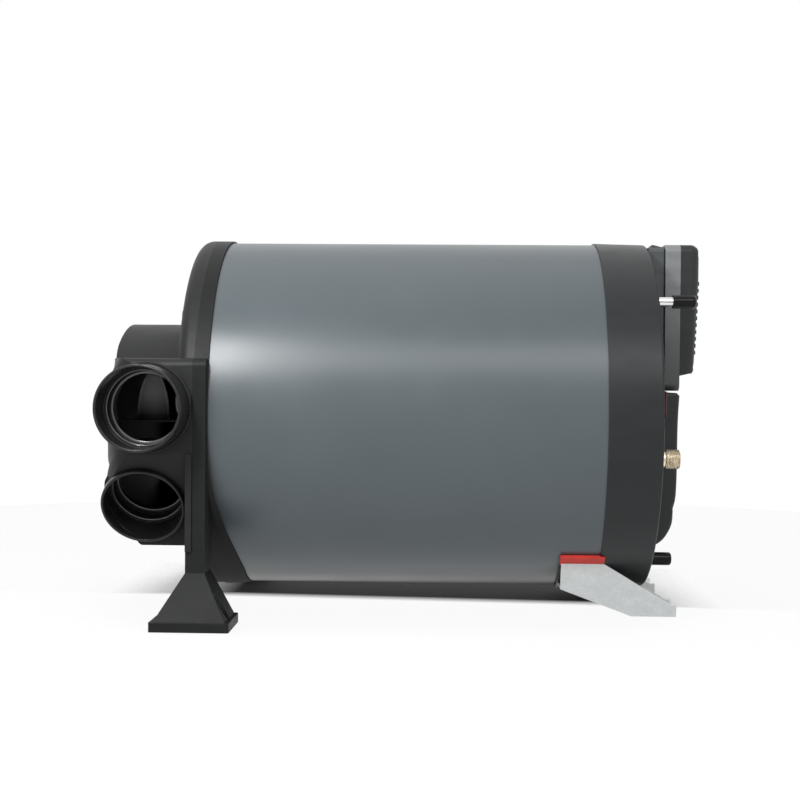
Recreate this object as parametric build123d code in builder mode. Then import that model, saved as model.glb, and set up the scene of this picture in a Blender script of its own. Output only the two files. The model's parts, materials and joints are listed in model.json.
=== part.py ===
from build123d import *
import os
from math import atan2, cos, degrees, pi, radians, sin, sqrt, tan

# Combi heater for a motor home: one drum that warms air and water.
# Frame: +Z up, +X along the drum from the warm air end to the control end,
# -Y is the right hand side. The origin lies on the floor under the middle.

os.makedirs("parts", exist_ok=True)

# Lengths along the drum, front to rear
distributor_depth = 74.0
cap_depth = 10.0
jacket_length = 299.5
ring_depth = 41.0
box_base_depth = 12.3
gasket_thickness = 1.0
box_frame_depth = 12.0
box_lid_depth = 15.4

# Drum
axis_height = 157.0
jacket_radius = 141.4
jacket_wall = 1.2
cap_overhang = 1.6
flank_overhang = 3.0
seat_gap = 0.3
spigot_length = 6.0
spigot_wall = 3.0

# Air distributor, heights measured from the drum's axis
distributor_wall = 3.0
shoulder_rise = 43.0
shoulder_round = 6.0
knee_drop = 29.0
floor_drop = 101.0
flank_slope = 28.6
dome_rise = 73.0
dome_radius = 120.0
nose_drop = 20.0
nose_setback = 2.0
nose_low_depth = 20.0
nose_low_height = 50.0
plan_corner_depth = 33.0
plan_corner_width = 48.0
rim_depth = 14.0
rim_round = 9.0
seam_rib_width = 4.5
seam_rib_proud = 1.8
seam_rib_drop = 28.0
boss_radius = 4.5

# Air outlets, places of the mouths' centres
outlet_radius = 32.0
outlet_wall = 2.2
outlet_stop_depth = 24.0
outlet_stop_spacing = 11.0
outlet_stop_width = 2.0
outlet_stop_height = 2.2
outlet_lip_round = 0.9
outlet_fit = 0.3
upper_outlet_back = 41.0
upper_outlet_reach = 184.0
upper_outlet_rise = 6.3
upper_outlet_length = 66.0
upper_socket_set = 32.0
lower_outlet_back = 33.8
lower_outlet_reach = 128.7
lower_outlet_drop = 70.0
lower_outlet_length = 44.0
lower_socket_set = 12.0
socket_wall = 1.6
socket_stop = 2.0
air_opening_radius = 112.0

# Front feet
foot_length = 59.0
foot_width = 51.0
foot_plate = 7.0
foot_reach = 171.0
foot_forward = 37.0
foot_neck_height = 40.0
foot_wall = 3.0
foot_slot_width = 6.5
foot_slot_length = 9.0
foot_slot_inset = 7.5
foot_slot_reach = 150.0
foot_corner = 2.0
foot_recess_radius = 6.2
web_reach = 119.0

# Rear ring and cover
ring_front_radius = 142.6
ring_rear_radius = 141.6
ring_wall = 4.0
cover_thickness = 4.0

# Control box on the rear, heights measured from the drum's axis
box_right = 48.0
box_left = 44.0
box_top = 138.6
box_bottom = 21.0
box_wall = 2.5
box_corner = 6.0
frame_proud = 2.2
gasket_inset = 0.8
lid_bottom = 33.0
lid_face_top = 110.0
lid_lean = 3.3
lid_top_round = 7.0
lid_rib_count = 11
lid_rib_pitch = 5.55
lid_rib_height = 3.0
lid_rib_proud = 0.7
lid_rib_top = 107.5

# Blower cover
blower_cover_depth = 23.6
blower_cover_right = 62.0
blower_cover_left = 8.0
blower_cover_drop = 103.0
blower_cover_gap = 1.5
blower_chamfer = 2.2
blower_toe = 3.0
blower_toe_depth = 17.3
blower_toe_drop = 89.4
blower_toe_bulge = (12.3, 96.6)
blower_edge_round = 2.5

# Rear feet of folded sheet
sheet = 2.5
rear_foot_outer = 72.0
rear_foot_inner = 42.0
rear_foot_lean = 18.6
rear_foot_start = 30.0
rear_foot_flat = 35.0
rear_foot_overhang = 20.7
rear_foot_heel = 21.8
rear_foot_toe = 9.8
rear_foot_lip = 4.3
rear_foot_seat = 32.0
rear_foot_top = 41.5
rear_slot_inset = 17.0
rear_slot_length = 14.0
pad_thickness = 3.0
pad_outer_angle = 48.8
pad_inner_angle = 77.0
pad_overhang = 1.2

# Pipes and gas inlet, places measured from the drum's axis
pipe_radius = 3.8
pipe_bore = 2.9
hot_pipe_y = -96.0
hot_pipe_z = 89.8
cold_pipe_y = -60.0
cold_pipe_z = -112.5
pipe_cap_radius = 5.2
pipe_cap_length = 17.8
running_fit = 0.05
hot_cap_standoff = 11.5
cold_cap_standoff = 0.4
pipe_in_cap = 12.0
gas_y = -110.0
gas_z = -30.4
gas_radius = 7.4
gas_collar_radius = 6.4
gas_collar_length = 4.4
gas_length = 15.9
gas_bore = 4.0

# Flue and air intake, places measured from the drum's axis
flue_y = 88.0
flue_z = 48.0
flue_radius = 30.0
flue_wall = 2.5
flue_length = 32.0
exhaust_radius = 12.0
exhaust_wall = 1.2
exhaust_extra = 6.0
grille_y = 58.0
grille_z = -57.0
grille_radius = 47.0
grille_opening = 42.0
grille_thickness = 3.0

ring_edge_round = 1.5
cable_slot = 6.0
motor_round = 3.0
lid_foot_rise = 2.5
lid_foot_chamfer = 2.0
lid_rib_margin = 6.0
tab_inset = 18.0
tab_width = 16.0
tab_height = 1.1
tab_back = 5.9
board_parts = (
    (-20.0, 22.0, 18.0, 16.0, 9.0),
    (4.0, 22.0, 18.0, 16.0, 9.0),
    (-22.0, -6.0, 14.0, 14.0, 2.0),
    (6.0, -6.0, 26.0, 10.0, 3.0),
    (-14.0, -33.0, 30.0, 9.0, 8.0),
    (20.0, -33.0, 18.0, 9.0, 8.0),
)
board_capacitors = ((26.0, 28.0), (26.0, 12.0))
capacitor_radius = 5.0
capacitor_height = 12.0
pipe_lead = 6.0
pipe_bend = 12.0
gas_valve_offset = 6.0
gas_valve_width = 30.0
gas_valve_height = 28.0
gas_valve_depth = 26.0
gas_coil_radius = 9.0
gas_coil_height = 16.0
gas_edge_round = 1.0
flue_groove = 2.0
flue_groove_depth = 0.8
exhaust_lead = 8.0
exhaust_bend = 14.0

# Screws
screw_radius = 1.6
screw_fit = 0.3
screw_head_radius = 3.5
screw_head_height = 2.2
rim_screw_circle = 126.0
rim_screw_angles = (38, 64, 90, 116, 142)
cap_lip = 0.8
cover_screw_circle = 131.5
cover_screw_angles = (8, 60, 125, 180, 215, 250, 285, 340)
cover_boss_radius = 6.5
cover_boss_length = 12.0
box_screw_inset = 7.5
lid_screw_sink = 3.0
lid_screw_length = 16.0

# Guides inside the distributor
guide_gap = 0.5
guide_wall = 2.5
guide_shelf_drop = 2.0
guide_shelf_depth = 62.0
guide_shelf_width = 30.0
guide_tongue_back = 21.0
guide_tongue_width = 26.0
guide_tongue_height = 38.0
guide_tab_height = 20.0

# Inside the jacket
bay_in_jacket = 15.2
tank_radius = 110.0
tank_bore_radius = 73.0
tank_wall = 1.5
tank_round = 12.0
tank_to_bulkhead = 22.0
tank_front_gap = 24.0
hot_port = (-66.0, 62.0)
cold_port = (-38.0, -82.0)
heating_rod_radius = 4.0
heating_rod_length = 180.0
heating_rod_head = 6.0
heating_rod_y = 30.0
heating_rod_z = 86.0
exchanger_radius = 42.0
exchanger_bore = 36.0
exchanger_end = 8.0
exchanger_overhang = 8.0
exchanger_flange = 6.0
exchanger_flange_radius = 64.0
fin_height = 28.0
fin_thickness = 2.2
fin_count = 24
fin_end_gap = 12.0
burner_tube_radius = 28.0
burner_tube_length = 140.0
bulkhead_thickness = 3.0
air_hole_circle = 92.0
air_hole_count = 9
air_hole_start = 20.0
air_hole_radius = 13.0
exhaust_port = (33.0, 32.0)
burner_head_radius = 26.0
burner_head_length = 14.0
gas_boss_radius = 5.0
gas_boss_reach = 33.0
igniter_radius = 3.0
igniter_length = 50.0
igniter_tip = 12.0
igniter_tail = 8.0
overheat_y = -30.0
overheat_z = 60.0
overheat_radius = 9.0
overheat_height = 6.0

# Combustion air blower, place measured from the drum's axis
blower_y = -27.0
blower_z = -42.0
impeller_radius = 28.0
impeller_width = 10.0
impeller_gap = 3.5
impeller_blade_count = 12
blower_motor_radius = 19.0
blower_motor_length = 27.0
shaft_radius = 2.5
shaft_in_motor = 12.0

# Circulation fan behind the grille
fan_radius = 39.0
fan_width = 22.0
fan_hub_radius = 12.0
fan_plate = 2.0
fan_eye_radius = 27.0
fan_blade_count = 22
fan_blade_length = 11.0
fan_blade_thickness = 1.4
fan_blade_sweep = 35.0
fan_gap = 4.0
fan_motor_radius = 26.0
fan_motor_length = 14.0
scroll_radius = 50.0
scroll_wall = 2.0
scroll_depth = 34.0

# Grille
grille_bar_count = 9
grille_bar_width = 2.4

# Circuit board in the control box
board_thickness = 1.6
board_margin = 4.0
board_standoff = 4.0
board_height = 84.0

HANDS = {-1: "right", 1: "left"}

# Stations along the drum; the lid's face leans in from its top to its foot, and its top rib
# stands a little past it
lid_face_foot = lid_bottom + lid_foot_rise + lid_foot_chamfer
lid_slope = lid_lean / (lid_face_top - lid_face_foot)
rib_overshoot = max(lid_rib_proud - lid_slope * (lid_face_top - lid_rib_top), 0)
overall_length = (
    distributor_depth + cap_depth + jacket_length + ring_depth + box_base_depth
    + gasket_thickness + box_frame_depth + box_lid_depth + rib_overshoot
)
x_front = -overall_length / 2
x_seam = x_front + distributor_depth
x_jacket = x_seam + cap_depth
x_ring = x_jacket + jacket_length
x_rear = x_ring + ring_depth
x_gasket = x_rear + box_base_depth
x_frame = x_gasket + gasket_thickness
x_lid = x_frame + box_frame_depth
x_end = x_lid + box_lid_depth
cap_radius = jacket_radius + cap_overhang
flank = cap_radius + flank_overhang
guide_reach = upper_outlet_reach - upper_outlet_length - socket_stop - guide_gap - guide_shelf_width / 2
drum_axis = Axis((0, 0, axis_height), (1, 0, 0))


def across(x):
    """Plane across the drum at station x: its x is +Y, its y is +Z, from the axis."""
    return Plane(origin=(x, 0, axis_height), x_dir=(0, 1, 0), z_dir=(1, 0, 0))


def along(y):
    """Upright plane along the drum at y, seen from the right: its x is +X, its y is +Z."""
    return Plane(origin=(0, y, axis_height), x_dir=(1, 0, 0), z_dir=(0, -1, 0))


def rod(x, y, z, radius, length, mode=Mode.ADD):
    """A cylinder along +X from station x, placed from the drum's axis."""
    with Locations(Location((x, y, axis_height + z), (0, 90, 0))):
        Cylinder(
            radius, length, mode=mode,
            align=(Align.CENTER, Align.CENTER, Align.MIN),
        )


def finish(piece, name):
    """Label a finished piece and write it out."""
    piece.part.label = name
    export_step(piece.part, f"parts/{name}.step")


# Air distributor
def end_outline(inset):
    """Outline of the distributor seen along the drum, drawn in by inset."""
    side = flank - inset
    low = -(floor_drop - inset)
    toe = flank - (floor_drop - knee_drop) * tan(radians(flank_slope)) - inset
    with BuildSketch() as outline:
        with Locations((0, dome_rise - dome_radius)):
            Circle(dome_radius - inset)
        with Locations((0, dome_radius)):
            Rectangle(4 * flank, 2 * dome_radius, mode=Mode.INTERSECT)
        with BuildLine():
            Polyline(
                (-toe, low),
                (toe, low),
                (side, -knee_drop),
                (side, shoulder_rise - inset),
                (-side, shoulder_rise - inset),
                (-side, -knee_drop),
                close=True,
            )
        make_face()
        corners = outline.vertices().filter_by_position(Axis.Y, 0, shoulder_rise).sort_by(Axis.X)
        fillet([corners[0], corners[-1]], max(shoulder_round - inset, 1.0))
    return outline.sketch


def side_outline(inset):
    """Outline of the distributor seen from the right, drawn in by inset."""
    nose = x_front + inset
    top = dome_rise - inset
    low = -(floor_drop - inset)
    corner_x = x_front + nose_setback + nose_low_depth
    corner_z = nose_low_height - floor_drop
    with BuildSketch() as outline:
        with BuildLine():
            EllipticalCenterArc(
                (corner_x, corner_z),
                nose_low_depth - inset,
                nose_low_height - inset,
                start_angle=180,
                arc_size=90,
            )
            Line((corner_x, low), (x_seam, low))
            Line((x_seam, low), (x_seam, top))
            Line((x_seam, top), (nose, top))
            Line((nose, top), (nose, -nose_drop))
            Line((nose, -nose_drop), (nose + nose_setback, corner_z))
        make_face()
    return outline.sketch


def plan_outline(inset):
    """Outline of the distributor seen from above, drawn in by inset."""
    nose = x_front + inset
    side = flank - inset
    corner_x = x_front + plan_corner_depth
    corner_y = flank - plan_corner_width
    deep = plan_corner_depth - inset
    wide = plan_corner_width - inset
    with BuildSketch() as outline:
        with BuildLine():
            EllipticalCenterArc((corner_x, corner_y), deep, wide, start_angle=90, arc_size=90)
            Line((nose, corner_y), (nose, -corner_y))
            EllipticalCenterArc((corner_x, -corner_y), deep, wide, start_angle=180, arc_size=90)
            Polyline((corner_x, -side), (x_seam, -side), (x_seam, side), (corner_x, side))
        make_face()
    return outline.sketch


def distributor_form(inset):
    """The distributor as a solid, drawn in by inset: a chamber on a round rim."""
    with BuildPart() as form:
        with BuildSketch(across(x_front)):
            add(end_outline(inset))
        extrude(amount=distributor_depth)
        with BuildSketch(along(0)):
            add(side_outline(inset))
        extrude(amount=2 * flank, both=True, mode=Mode.INTERSECT)
        with BuildSketch(Plane.XY):
            add(plan_outline(inset))
        extrude(amount=2 * axis_height, mode=Mode.INTERSECT)
    with BuildPart() as rim:
        with BuildSketch(across(x_seam - rim_depth + inset)):
            Circle(cap_radius - inset)
        extrude(amount=rim_depth - inset)
        fillet(rim.edges().group_by(Axis.X)[0], rim_round - inset)
        with BuildSketch(along(0)):
            with Locations((x_seam - rim_depth, cap_radius - floor_drop + inset)):
                Rectangle(4 * rim_depth, 2 * cap_radius)
        extrude(amount=2 * flank, both=True, mode=Mode.INTERSECT)
    return form.part + rim.part


def outlet_plane(upper, hand):
    """Plane in the mouth of an outlet, facing into the distributor; hand is -1 on the right."""
    if upper:
        back, reach, rise, dip = upper_outlet_back, upper_outlet_reach, upper_outlet_rise, 0
    else:
        back, reach, rise, dip = lower_outlet_back, lower_outlet_reach, -lower_outlet_drop, flank_slope
    return Plane(
        origin=(x_front + back, hand * reach, axis_height + rise),
        x_dir=(-hand, 0, 0),
        z_dir=(0, -hand * cos(radians(dip)), sin(radians(dip))),
    )


def outlet_length(upper):
    """Length of an outlet sleeve, from its mouth inward."""
    return upper_outlet_length if upper else lower_outlet_length


distributor_outside = distributor_form(0)
distributor_inside = distributor_form(distributor_wall)
rim_screws = [
    (rim_screw_circle * cos(radians(angle)), rim_screw_circle * sin(radians(angle)))
    for angle in rim_screw_angles
]

with BuildPart() as air_distributor:
    add(distributor_outside)
    add(distributor_inside, mode=Mode.SUBTRACT)
    for hand in (-1, 1):
        with BuildSketch(along(hand * (flank - distributor_wall))):
            with Locations((x_seam - seam_rib_width / 2, -(floor_drop + seam_rib_drop) / 2)):
                Rectangle(seam_rib_width, floor_drop - seam_rib_drop)
        extrude(amount=-hand * (distributor_wall + seam_rib_proud))
        for upper in (True, False):
            socket_set = upper_socket_set if upper else lower_socket_set
            with BuildSketch(outlet_plane(upper, hand).offset(socket_set)):
                Circle(outlet_radius + outlet_fit + socket_wall)
            extrude(amount=outlet_length(upper) + socket_stop - socket_set)
    for hand in (-1, 1):
        for upper in (True, False):
            with BuildSketch(outlet_plane(upper, hand)):
                Circle(outlet_radius + outlet_fit)
            extrude(amount=outlet_length(upper), mode=Mode.SUBTRACT)
            with BuildSketch(outlet_plane(upper, hand)):
                Circle(outlet_radius - outlet_wall)
            extrude(amount=outlet_length(upper) + 2 * socket_stop, mode=Mode.SUBTRACT)
    with BuildSketch(across(x_seam)):
        Circle(2 * flank)
    extrude(amount=cap_depth, mode=Mode.SUBTRACT)
    for y, z in rim_screws:
        rod(x_seam - rim_depth + distributor_wall, y, z, boss_radius, rim_depth - distributor_wall)
        rod(x_seam - rim_depth, y, z, screw_radius + screw_fit, rim_depth, Mode.SUBTRACT)
finish(air_distributor, "air_distributor")


# Air outlets: sleeves with two inner rings that stop the duct
for upper in (True, False):
    for hand in (-1, 1):
        mouth = outlet_plane(upper, hand)
        with BuildPart() as sleeve:
            with BuildSketch(mouth):
                Circle(outlet_radius)
                Circle(outlet_radius - outlet_wall, mode=Mode.SUBTRACT)
            extrude(amount=outlet_length(upper))
            for step in range(2):
                with BuildSketch(mouth.offset(outlet_stop_depth + step * outlet_stop_spacing)):
                    Circle(outlet_radius - outlet_wall / 2)
                    Circle(outlet_radius - outlet_wall - outlet_stop_height, mode=Mode.SUBTRACT)
                extrude(amount=outlet_stop_width)
            lip = sleeve.edges().filter_by(
                lambda edge: abs(mouth.to_local_coords(edge.center()).Z) < 0.01
            )
            fillet(lip, min(outlet_lip_round, outlet_wall * 0.45))
        level = "upper" if upper else "lower"
        finish(sleeve, f"outlet_{level}_{HANDS[hand]}")


# Air guides: a rounded tongue on a shelf between the upper and the lower outlet
for hand in (-1, 1):
    shelf_x = x_seam - guide_shelf_depth
    with BuildPart() as guide:
        with BuildSketch(Plane.XY.offset(axis_height - guide_shelf_drop)):
            with Locations((shelf_x + guide_shelf_depth / 2, hand * guide_reach)):
                Rectangle(guide_shelf_depth, guide_shelf_width)
        extrude(amount=-guide_wall)
        with BuildSketch(along(hand * guide_reach)):
            with Locations((x_seam - guide_tongue_back, -guide_shelf_drop)):
                Ellipse(guide_tongue_width / 2, guide_tongue_height)
            with Locations((x_seam - guide_tongue_back, -guide_shelf_drop - guide_tongue_height)):
                Rectangle(
                    2 * guide_tongue_width, 2 * guide_tongue_height, mode=Mode.SUBTRACT
                )
        extrude(amount=guide_wall / 2, both=True)
        with BuildSketch(across(x_seam - guide_wall)):
            with Locations((hand * guide_reach, -guide_shelf_drop - guide_tab_height / 2)):
                Rectangle(guide_shelf_width, guide_tab_height)
        extrude(amount=guide_wall)
    finish(guide, f"air_guide_{HANDS[hand]}")


# Front cap: the rear half of the distributor, which carries the drum on two feet
foot_x = x_jacket - foot_forward + foot_length / 2
foot_y = foot_reach - foot_width / 2
foot_slots = (
    x_jacket - foot_forward + foot_slot_inset,
    x_jacket - foot_forward + foot_length - foot_slot_inset,
)
neck_depth = cap_depth + seam_rib_width
neck_x = x_jacket - neck_depth / 2
neck_y = (flank + web_reach) / 2
neck_width = flank - web_reach

with BuildPart() as front_cap:
    with BuildSketch(across(x_seam)) as cap_face:
        Circle(cap_radius)
        for hand in (-1, 1):
            with BuildLine():
                Polyline(
                    (0, shoulder_rise),
                    (hand * flank, shoulder_rise),
                    (hand * flank, foot_neck_height - axis_height),
                    (hand * web_reach, foot_neck_height - axis_height),
                    (hand * web_reach, -web_reach / 2),
                    (0, 0),
                    close=True,
                )
            make_face()
        fillet(cap_face.vertices().filter_by_position(Axis.Y, shoulder_rise, shoulder_rise)
               .filter_by(lambda corner: abs(corner.X) > flank - 1), shoulder_round)
        Circle(air_opening_radius, mode=Mode.SUBTRACT)
    extrude(amount=cap_depth)
    with BuildSketch(across(x_jacket)):
        Circle(cap_radius)
        Circle(jacket_radius + seat_gap, mode=Mode.SUBTRACT)
    extrude(amount=cap_lip)
    with BuildSketch(across(x_jacket)):
        Circle(jacket_radius - jacket_wall - seat_gap)
        Circle(jacket_radius - jacket_wall - seat_gap - spigot_wall, mode=Mode.SUBTRACT)
    extrude(amount=spigot_length)
    for hand in (-1, 1):
        with BuildSketch(Plane.XY):
            with Locations((foot_x, hand * foot_y)):
                RectangleRounded(foot_length, foot_width, foot_corner)
        extrude(amount=foot_plate)
        with BuildSketch(Plane.XY.offset(foot_plate)):
            with Locations((foot_x, hand * foot_y)):
                Rectangle(foot_length - 2 * foot_wall, foot_width - foot_wall)
        with BuildSketch(Plane.XY.offset(foot_neck_height)):
            with Locations((neck_x, hand * neck_y)):
                Rectangle(neck_depth, neck_width)
        loft()
        with BuildSketch(Plane.XY.offset(foot_plate)):
            with Locations((foot_x, hand * (foot_y - foot_wall))):
                Rectangle(foot_length - 4 * foot_wall, foot_width)
        with BuildSketch(Plane.XY.offset(foot_neck_height - foot_wall)):
            with Locations((neck_x, hand * (neck_y - foot_wall))):
                Rectangle(neck_depth - 2 * foot_wall, neck_width)
        loft(mode=Mode.SUBTRACT)
        with BuildSketch(Plane.XY.offset(foot_neck_height)):
            with Locations((x_seam - seam_rib_width / 2, hand * (flank - distributor_wall / 2))):
                Rectangle(seam_rib_width, distributor_wall)
        extrude(amount=axis_height - floor_drop - foot_neck_height - seat_gap)
        for slot_x in foot_slots:
            with BuildSketch(Plane.XY.offset(foot_plate)):
                with Locations((slot_x, hand * foot_slot_reach)):
                    Circle(foot_recess_radius)
            extrude(amount=foot_neck_height, mode=Mode.SUBTRACT)
            with BuildSketch(Plane.XY):
                with Locations((slot_x, hand * foot_slot_reach)):
                    SlotOverall(foot_slot_length, foot_slot_width)
            extrude(amount=foot_plate, mode=Mode.SUBTRACT)
    for y, z in rim_screws:
        rod(x_seam, y, z, screw_radius, cap_depth, Mode.SUBTRACT)
finish(front_cap, "front_cap")


# Jacket and what it holds
jacket_bore = jacket_radius - jacket_wall
with BuildPart() as jacket:
    with BuildSketch(across(x_jacket)):
        Circle(jacket_radius)
        Circle(jacket_bore, mode=Mode.SUBTRACT)
    extrude(amount=jacket_length)
finish(jacket, "jacket")

x_bulkhead = x_jacket + jacket_length - bay_in_jacket
insulation_length = x_bulkhead - x_jacket - spigot_length - seat_gap
with BuildPart() as insulation:
    with BuildSketch(across(x_bulkhead)):
        Circle(jacket_bore - seat_gap)
        Circle(tank_radius + seat_gap, mode=Mode.SUBTRACT)
    extrude(amount=-insulation_length)
finish(insulation, "insulation")

x_tank_rear = x_bulkhead - tank_to_bulkhead
tank_length = insulation_length - tank_to_bulkhead - tank_front_gap
x_tank_front = x_tank_rear - tank_length


def tank_form(inset):
    """The ring-shaped tank as a solid, drawn in by inset."""
    with BuildPart() as form:
        with BuildSketch(across(x_tank_front + inset)):
            Circle(tank_radius - inset)
            Circle(tank_bore_radius + inset, mode=Mode.SUBTRACT)
        extrude(amount=tank_length - 2 * inset)
        rims = form.edges().filter_by(GeomType.CIRCLE).filter_by(
            lambda edge: edge.radius > tank_radius - inset - 0.1
        )
        fillet(rims, tank_round - inset)
    return form.part


tank_outside = tank_form(0)
tank_inside = tank_form(tank_wall)
with BuildPart() as water_tank:
    add(tank_outside)
    add(tank_inside, mode=Mode.SUBTRACT)
    for y, z in (hot_port, cold_port):
        rod(x_tank_rear - 2 * tank_wall, y, z, pipe_radius + running_fit, 3 * tank_wall, Mode.SUBTRACT)
    for y in (-heating_rod_y, heating_rod_y):
        rod(x_tank_rear - 2 * tank_wall, y, heating_rod_z, heating_rod_radius + running_fit,
            3 * tank_wall, Mode.SUBTRACT)
finish(water_tank, "water_tank")

with BuildPart() as heating_rods:
    for y in (-heating_rod_y, heating_rod_y):
        rod(x_tank_rear - heating_rod_length, y, heating_rod_z, heating_rod_radius, heating_rod_length)
        with BuildSketch(across(x_tank_rear)):
            with Locations((y, heating_rod_z)):
                RegularPolygon(2 * heating_rod_radius, 6)
        extrude(amount=heating_rod_head)
finish(heating_rods, "heating_rods")

x_exchanger_front = x_tank_front - exchanger_overhang
exchanger_length = x_bulkhead - x_exchanger_front
with BuildPart() as heat_exchanger:
    with BuildSketch(across(x_exchanger_front)):
        Circle(exchanger_radius)
        with PolarLocations(exchanger_radius + fin_height / 2 - fin_thickness, fin_count):
            Rectangle(fin_height + 2 * fin_thickness, fin_thickness)
    extrude(amount=exchanger_length - exchanger_flange - fin_end_gap)
    with BuildSketch(across(x_exchanger_front)):
        Circle(exchanger_radius)
    extrude(amount=exchanger_length)
    with BuildSketch(across(x_bulkhead)):
        Circle(exchanger_flange_radius)
    extrude(amount=-exchanger_flange)
    with BuildSketch(across(x_bulkhead)):
        Circle(exchanger_bore)
    extrude(amount=-(exchanger_length - exchanger_end), mode=Mode.SUBTRACT)
    rod(x_bulkhead - exchanger_flange, exhaust_port[0], exhaust_port[1], exhaust_radius + seat_gap,
        2 * exchanger_flange, Mode.SUBTRACT)
finish(heat_exchanger, "heat_exchanger")

with BuildPart() as burner_tube:
    with BuildSketch(across(x_bulkhead)):
        Circle(burner_tube_radius)
        Circle(burner_tube_radius - sheet / 2, mode=Mode.SUBTRACT)
    extrude(amount=-burner_tube_length)
finish(burner_tube, "burner_tube")

x_bay = x_bulkhead + bulkhead_thickness
with BuildPart() as bulkhead:
    with BuildSketch(across(x_bulkhead)):
        Circle(jacket_bore - seat_gap)
        Circle(igniter_radius + seat_gap, mode=Mode.SUBTRACT)
        with PolarLocations(air_hole_circle, air_hole_count, air_hole_start):
            Circle(air_hole_radius, mode=Mode.SUBTRACT)
        for y, z in (hot_port, cold_port):
            with Locations((y, z)):
                Circle(pipe_radius + seat_gap, mode=Mode.SUBTRACT)
        with Locations(exhaust_port):
            Circle(exhaust_radius + seat_gap, mode=Mode.SUBTRACT)
    extrude(amount=bulkhead_thickness)
finish(bulkhead, "bulkhead")

with BuildPart() as burner_head:
    rod(x_bay, 0, 0, burner_head_radius, burner_head_length)
    with BuildSketch(along(-burner_head_radius * 0.9)):
        with Locations((x_bay + burner_head_length / 2, 0)):
            Circle(gas_boss_radius)
    extrude(amount=gas_boss_reach - burner_head_radius * 0.9)
    rod(x_bay, 0, 0, igniter_radius + seat_gap, burner_head_length, Mode.SUBTRACT)
finish(burner_head, "burner_head")

with BuildPart() as igniter:
    rod(x_bay - igniter_length, 0, 0, igniter_radius, igniter_length + burner_head_length + igniter_tail)
    rod(x_bay - igniter_length - igniter_tip, 0, 0, igniter_radius / 3, igniter_tip)
    rod(x_bay + burner_head_length, 0, 0, 2 * igniter_radius, igniter_radius)
finish(igniter, "igniter")

with BuildPart() as overheat_switch:
    rod(x_bay, overheat_y, overheat_z, overheat_radius, overheat_height)
    for y in (-1, 1):
        with BuildSketch(across(x_bay + overheat_height)):
            with Locations((overheat_y + y * overheat_radius / 2, overheat_z)):
                Rectangle(sheet / 2, overheat_radius * 0.7)
        extrude(amount=overheat_height)
finish(overheat_switch, "overheat_switch")


# Rear ring and cover
ring_bore = ring_rear_radius - ring_wall
x_cover = x_rear - cover_thickness
cover_screws = [
    (cover_screw_circle * cos(radians(angle)), cover_screw_circle * sin(radians(angle)))
    for angle in cover_screw_angles
]
with BuildPart() as rear_ring:
    with BuildSketch(Plane.XZ):
        with BuildLine():
            Polyline(
                (x_ring, axis_height + ring_bore),
                (x_ring, axis_height + ring_front_radius),
                (x_rear, axis_height + ring_rear_radius),
                (x_rear, axis_height + ring_bore),
                close=True,
            )
        make_face()
        with BuildLine():
            Polyline(
                (x_ring - spigot_length, axis_height + ring_bore),
                (x_ring - spigot_length, axis_height + jacket_bore - seat_gap),
                (x_ring, axis_height + jacket_bore - seat_gap),
                (x_ring, axis_height + ring_bore),
                close=True,
            )
        make_face()
    revolve(axis=drum_axis)
    outer_rims = rear_ring.edges().filter_by(GeomType.CIRCLE).filter_by(
        lambda edge: abs(edge.center().X - x_rear) < 0.01 and edge.radius > ring_rear_radius - 0.1
    )
    fillet(outer_rims, ring_edge_round)
    for y, z in cover_screws:
        rod(x_cover - cover_boss_length, y, z, cover_boss_radius, cover_boss_length)
        rod(x_cover - cover_boss_length, y, z, screw_radius, cover_boss_length, Mode.SUBTRACT)
finish(rear_ring, "rear_ring")

with BuildPart() as rear_cover:
    with BuildSketch(across(x_cover)):
        Circle(ring_bore - seat_gap)
        with Locations((grille_y, grille_z)):
            Circle(grille_opening, mode=Mode.SUBTRACT)
        with Locations((flue_y, flue_z)):
            Circle(flue_radius - flue_wall, mode=Mode.SUBTRACT)
        with Locations((hot_pipe_y, hot_pipe_z), (cold_pipe_y, cold_pipe_z)):
            Circle(pipe_radius + seat_gap, mode=Mode.SUBTRACT)
        with Locations((gas_y, gas_z)):
            Circle(gas_collar_radius + seat_gap, mode=Mode.SUBTRACT)
        with Locations((blower_y, blower_z)):
            Circle(2 * shaft_radius, mode=Mode.SUBTRACT)
        with Locations((0, box_bottom + 2 * cable_slot)):
            RectangleRounded(4 * cable_slot, cable_slot, cable_slot / 3, mode=Mode.SUBTRACT)
        with Locations(*cover_screws):
            Circle(screw_radius + screw_fit, mode=Mode.SUBTRACT)
    extrude(amount=cover_thickness)
    with BuildSketch(across(x_rear)):
        with Locations(*cover_screws):
            Circle(screw_head_radius + screw_fit)
    extrude(amount=-screw_head_height, mode=Mode.SUBTRACT)
finish(rear_cover, "rear_cover")


# Air intake grille and the circulation fan behind it
with BuildPart() as intake_grille:
    with BuildSketch(across(x_rear)):
        with Locations((grille_y, grille_z)):
            Circle(grille_radius)
            Circle(grille_opening - 2 * seat_gap, mode=Mode.SUBTRACT)
    extrude(amount=grille_thickness)
    bar_pitch = 2 * grille_opening / (grille_bar_count + 1)
    for index in range(grille_bar_count):
        rise = (index - (grille_bar_count - 1) / 2) * bar_pitch
        span = 2 * sqrt(grille_opening**2 - rise**2)
        with BuildSketch(across(x_rear)):
            with Locations((grille_y, grille_z + rise)):
                Rectangle(span, grille_bar_width)
        extrude(amount=grille_thickness * 0.8)
    with BuildSketch(across(x_rear)):
        with Locations((grille_y, grille_z)):
            Rectangle(grille_bar_width, 2 * grille_opening)
    extrude(amount=grille_thickness * 0.8)
finish(intake_grille, "intake_grille")

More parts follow.
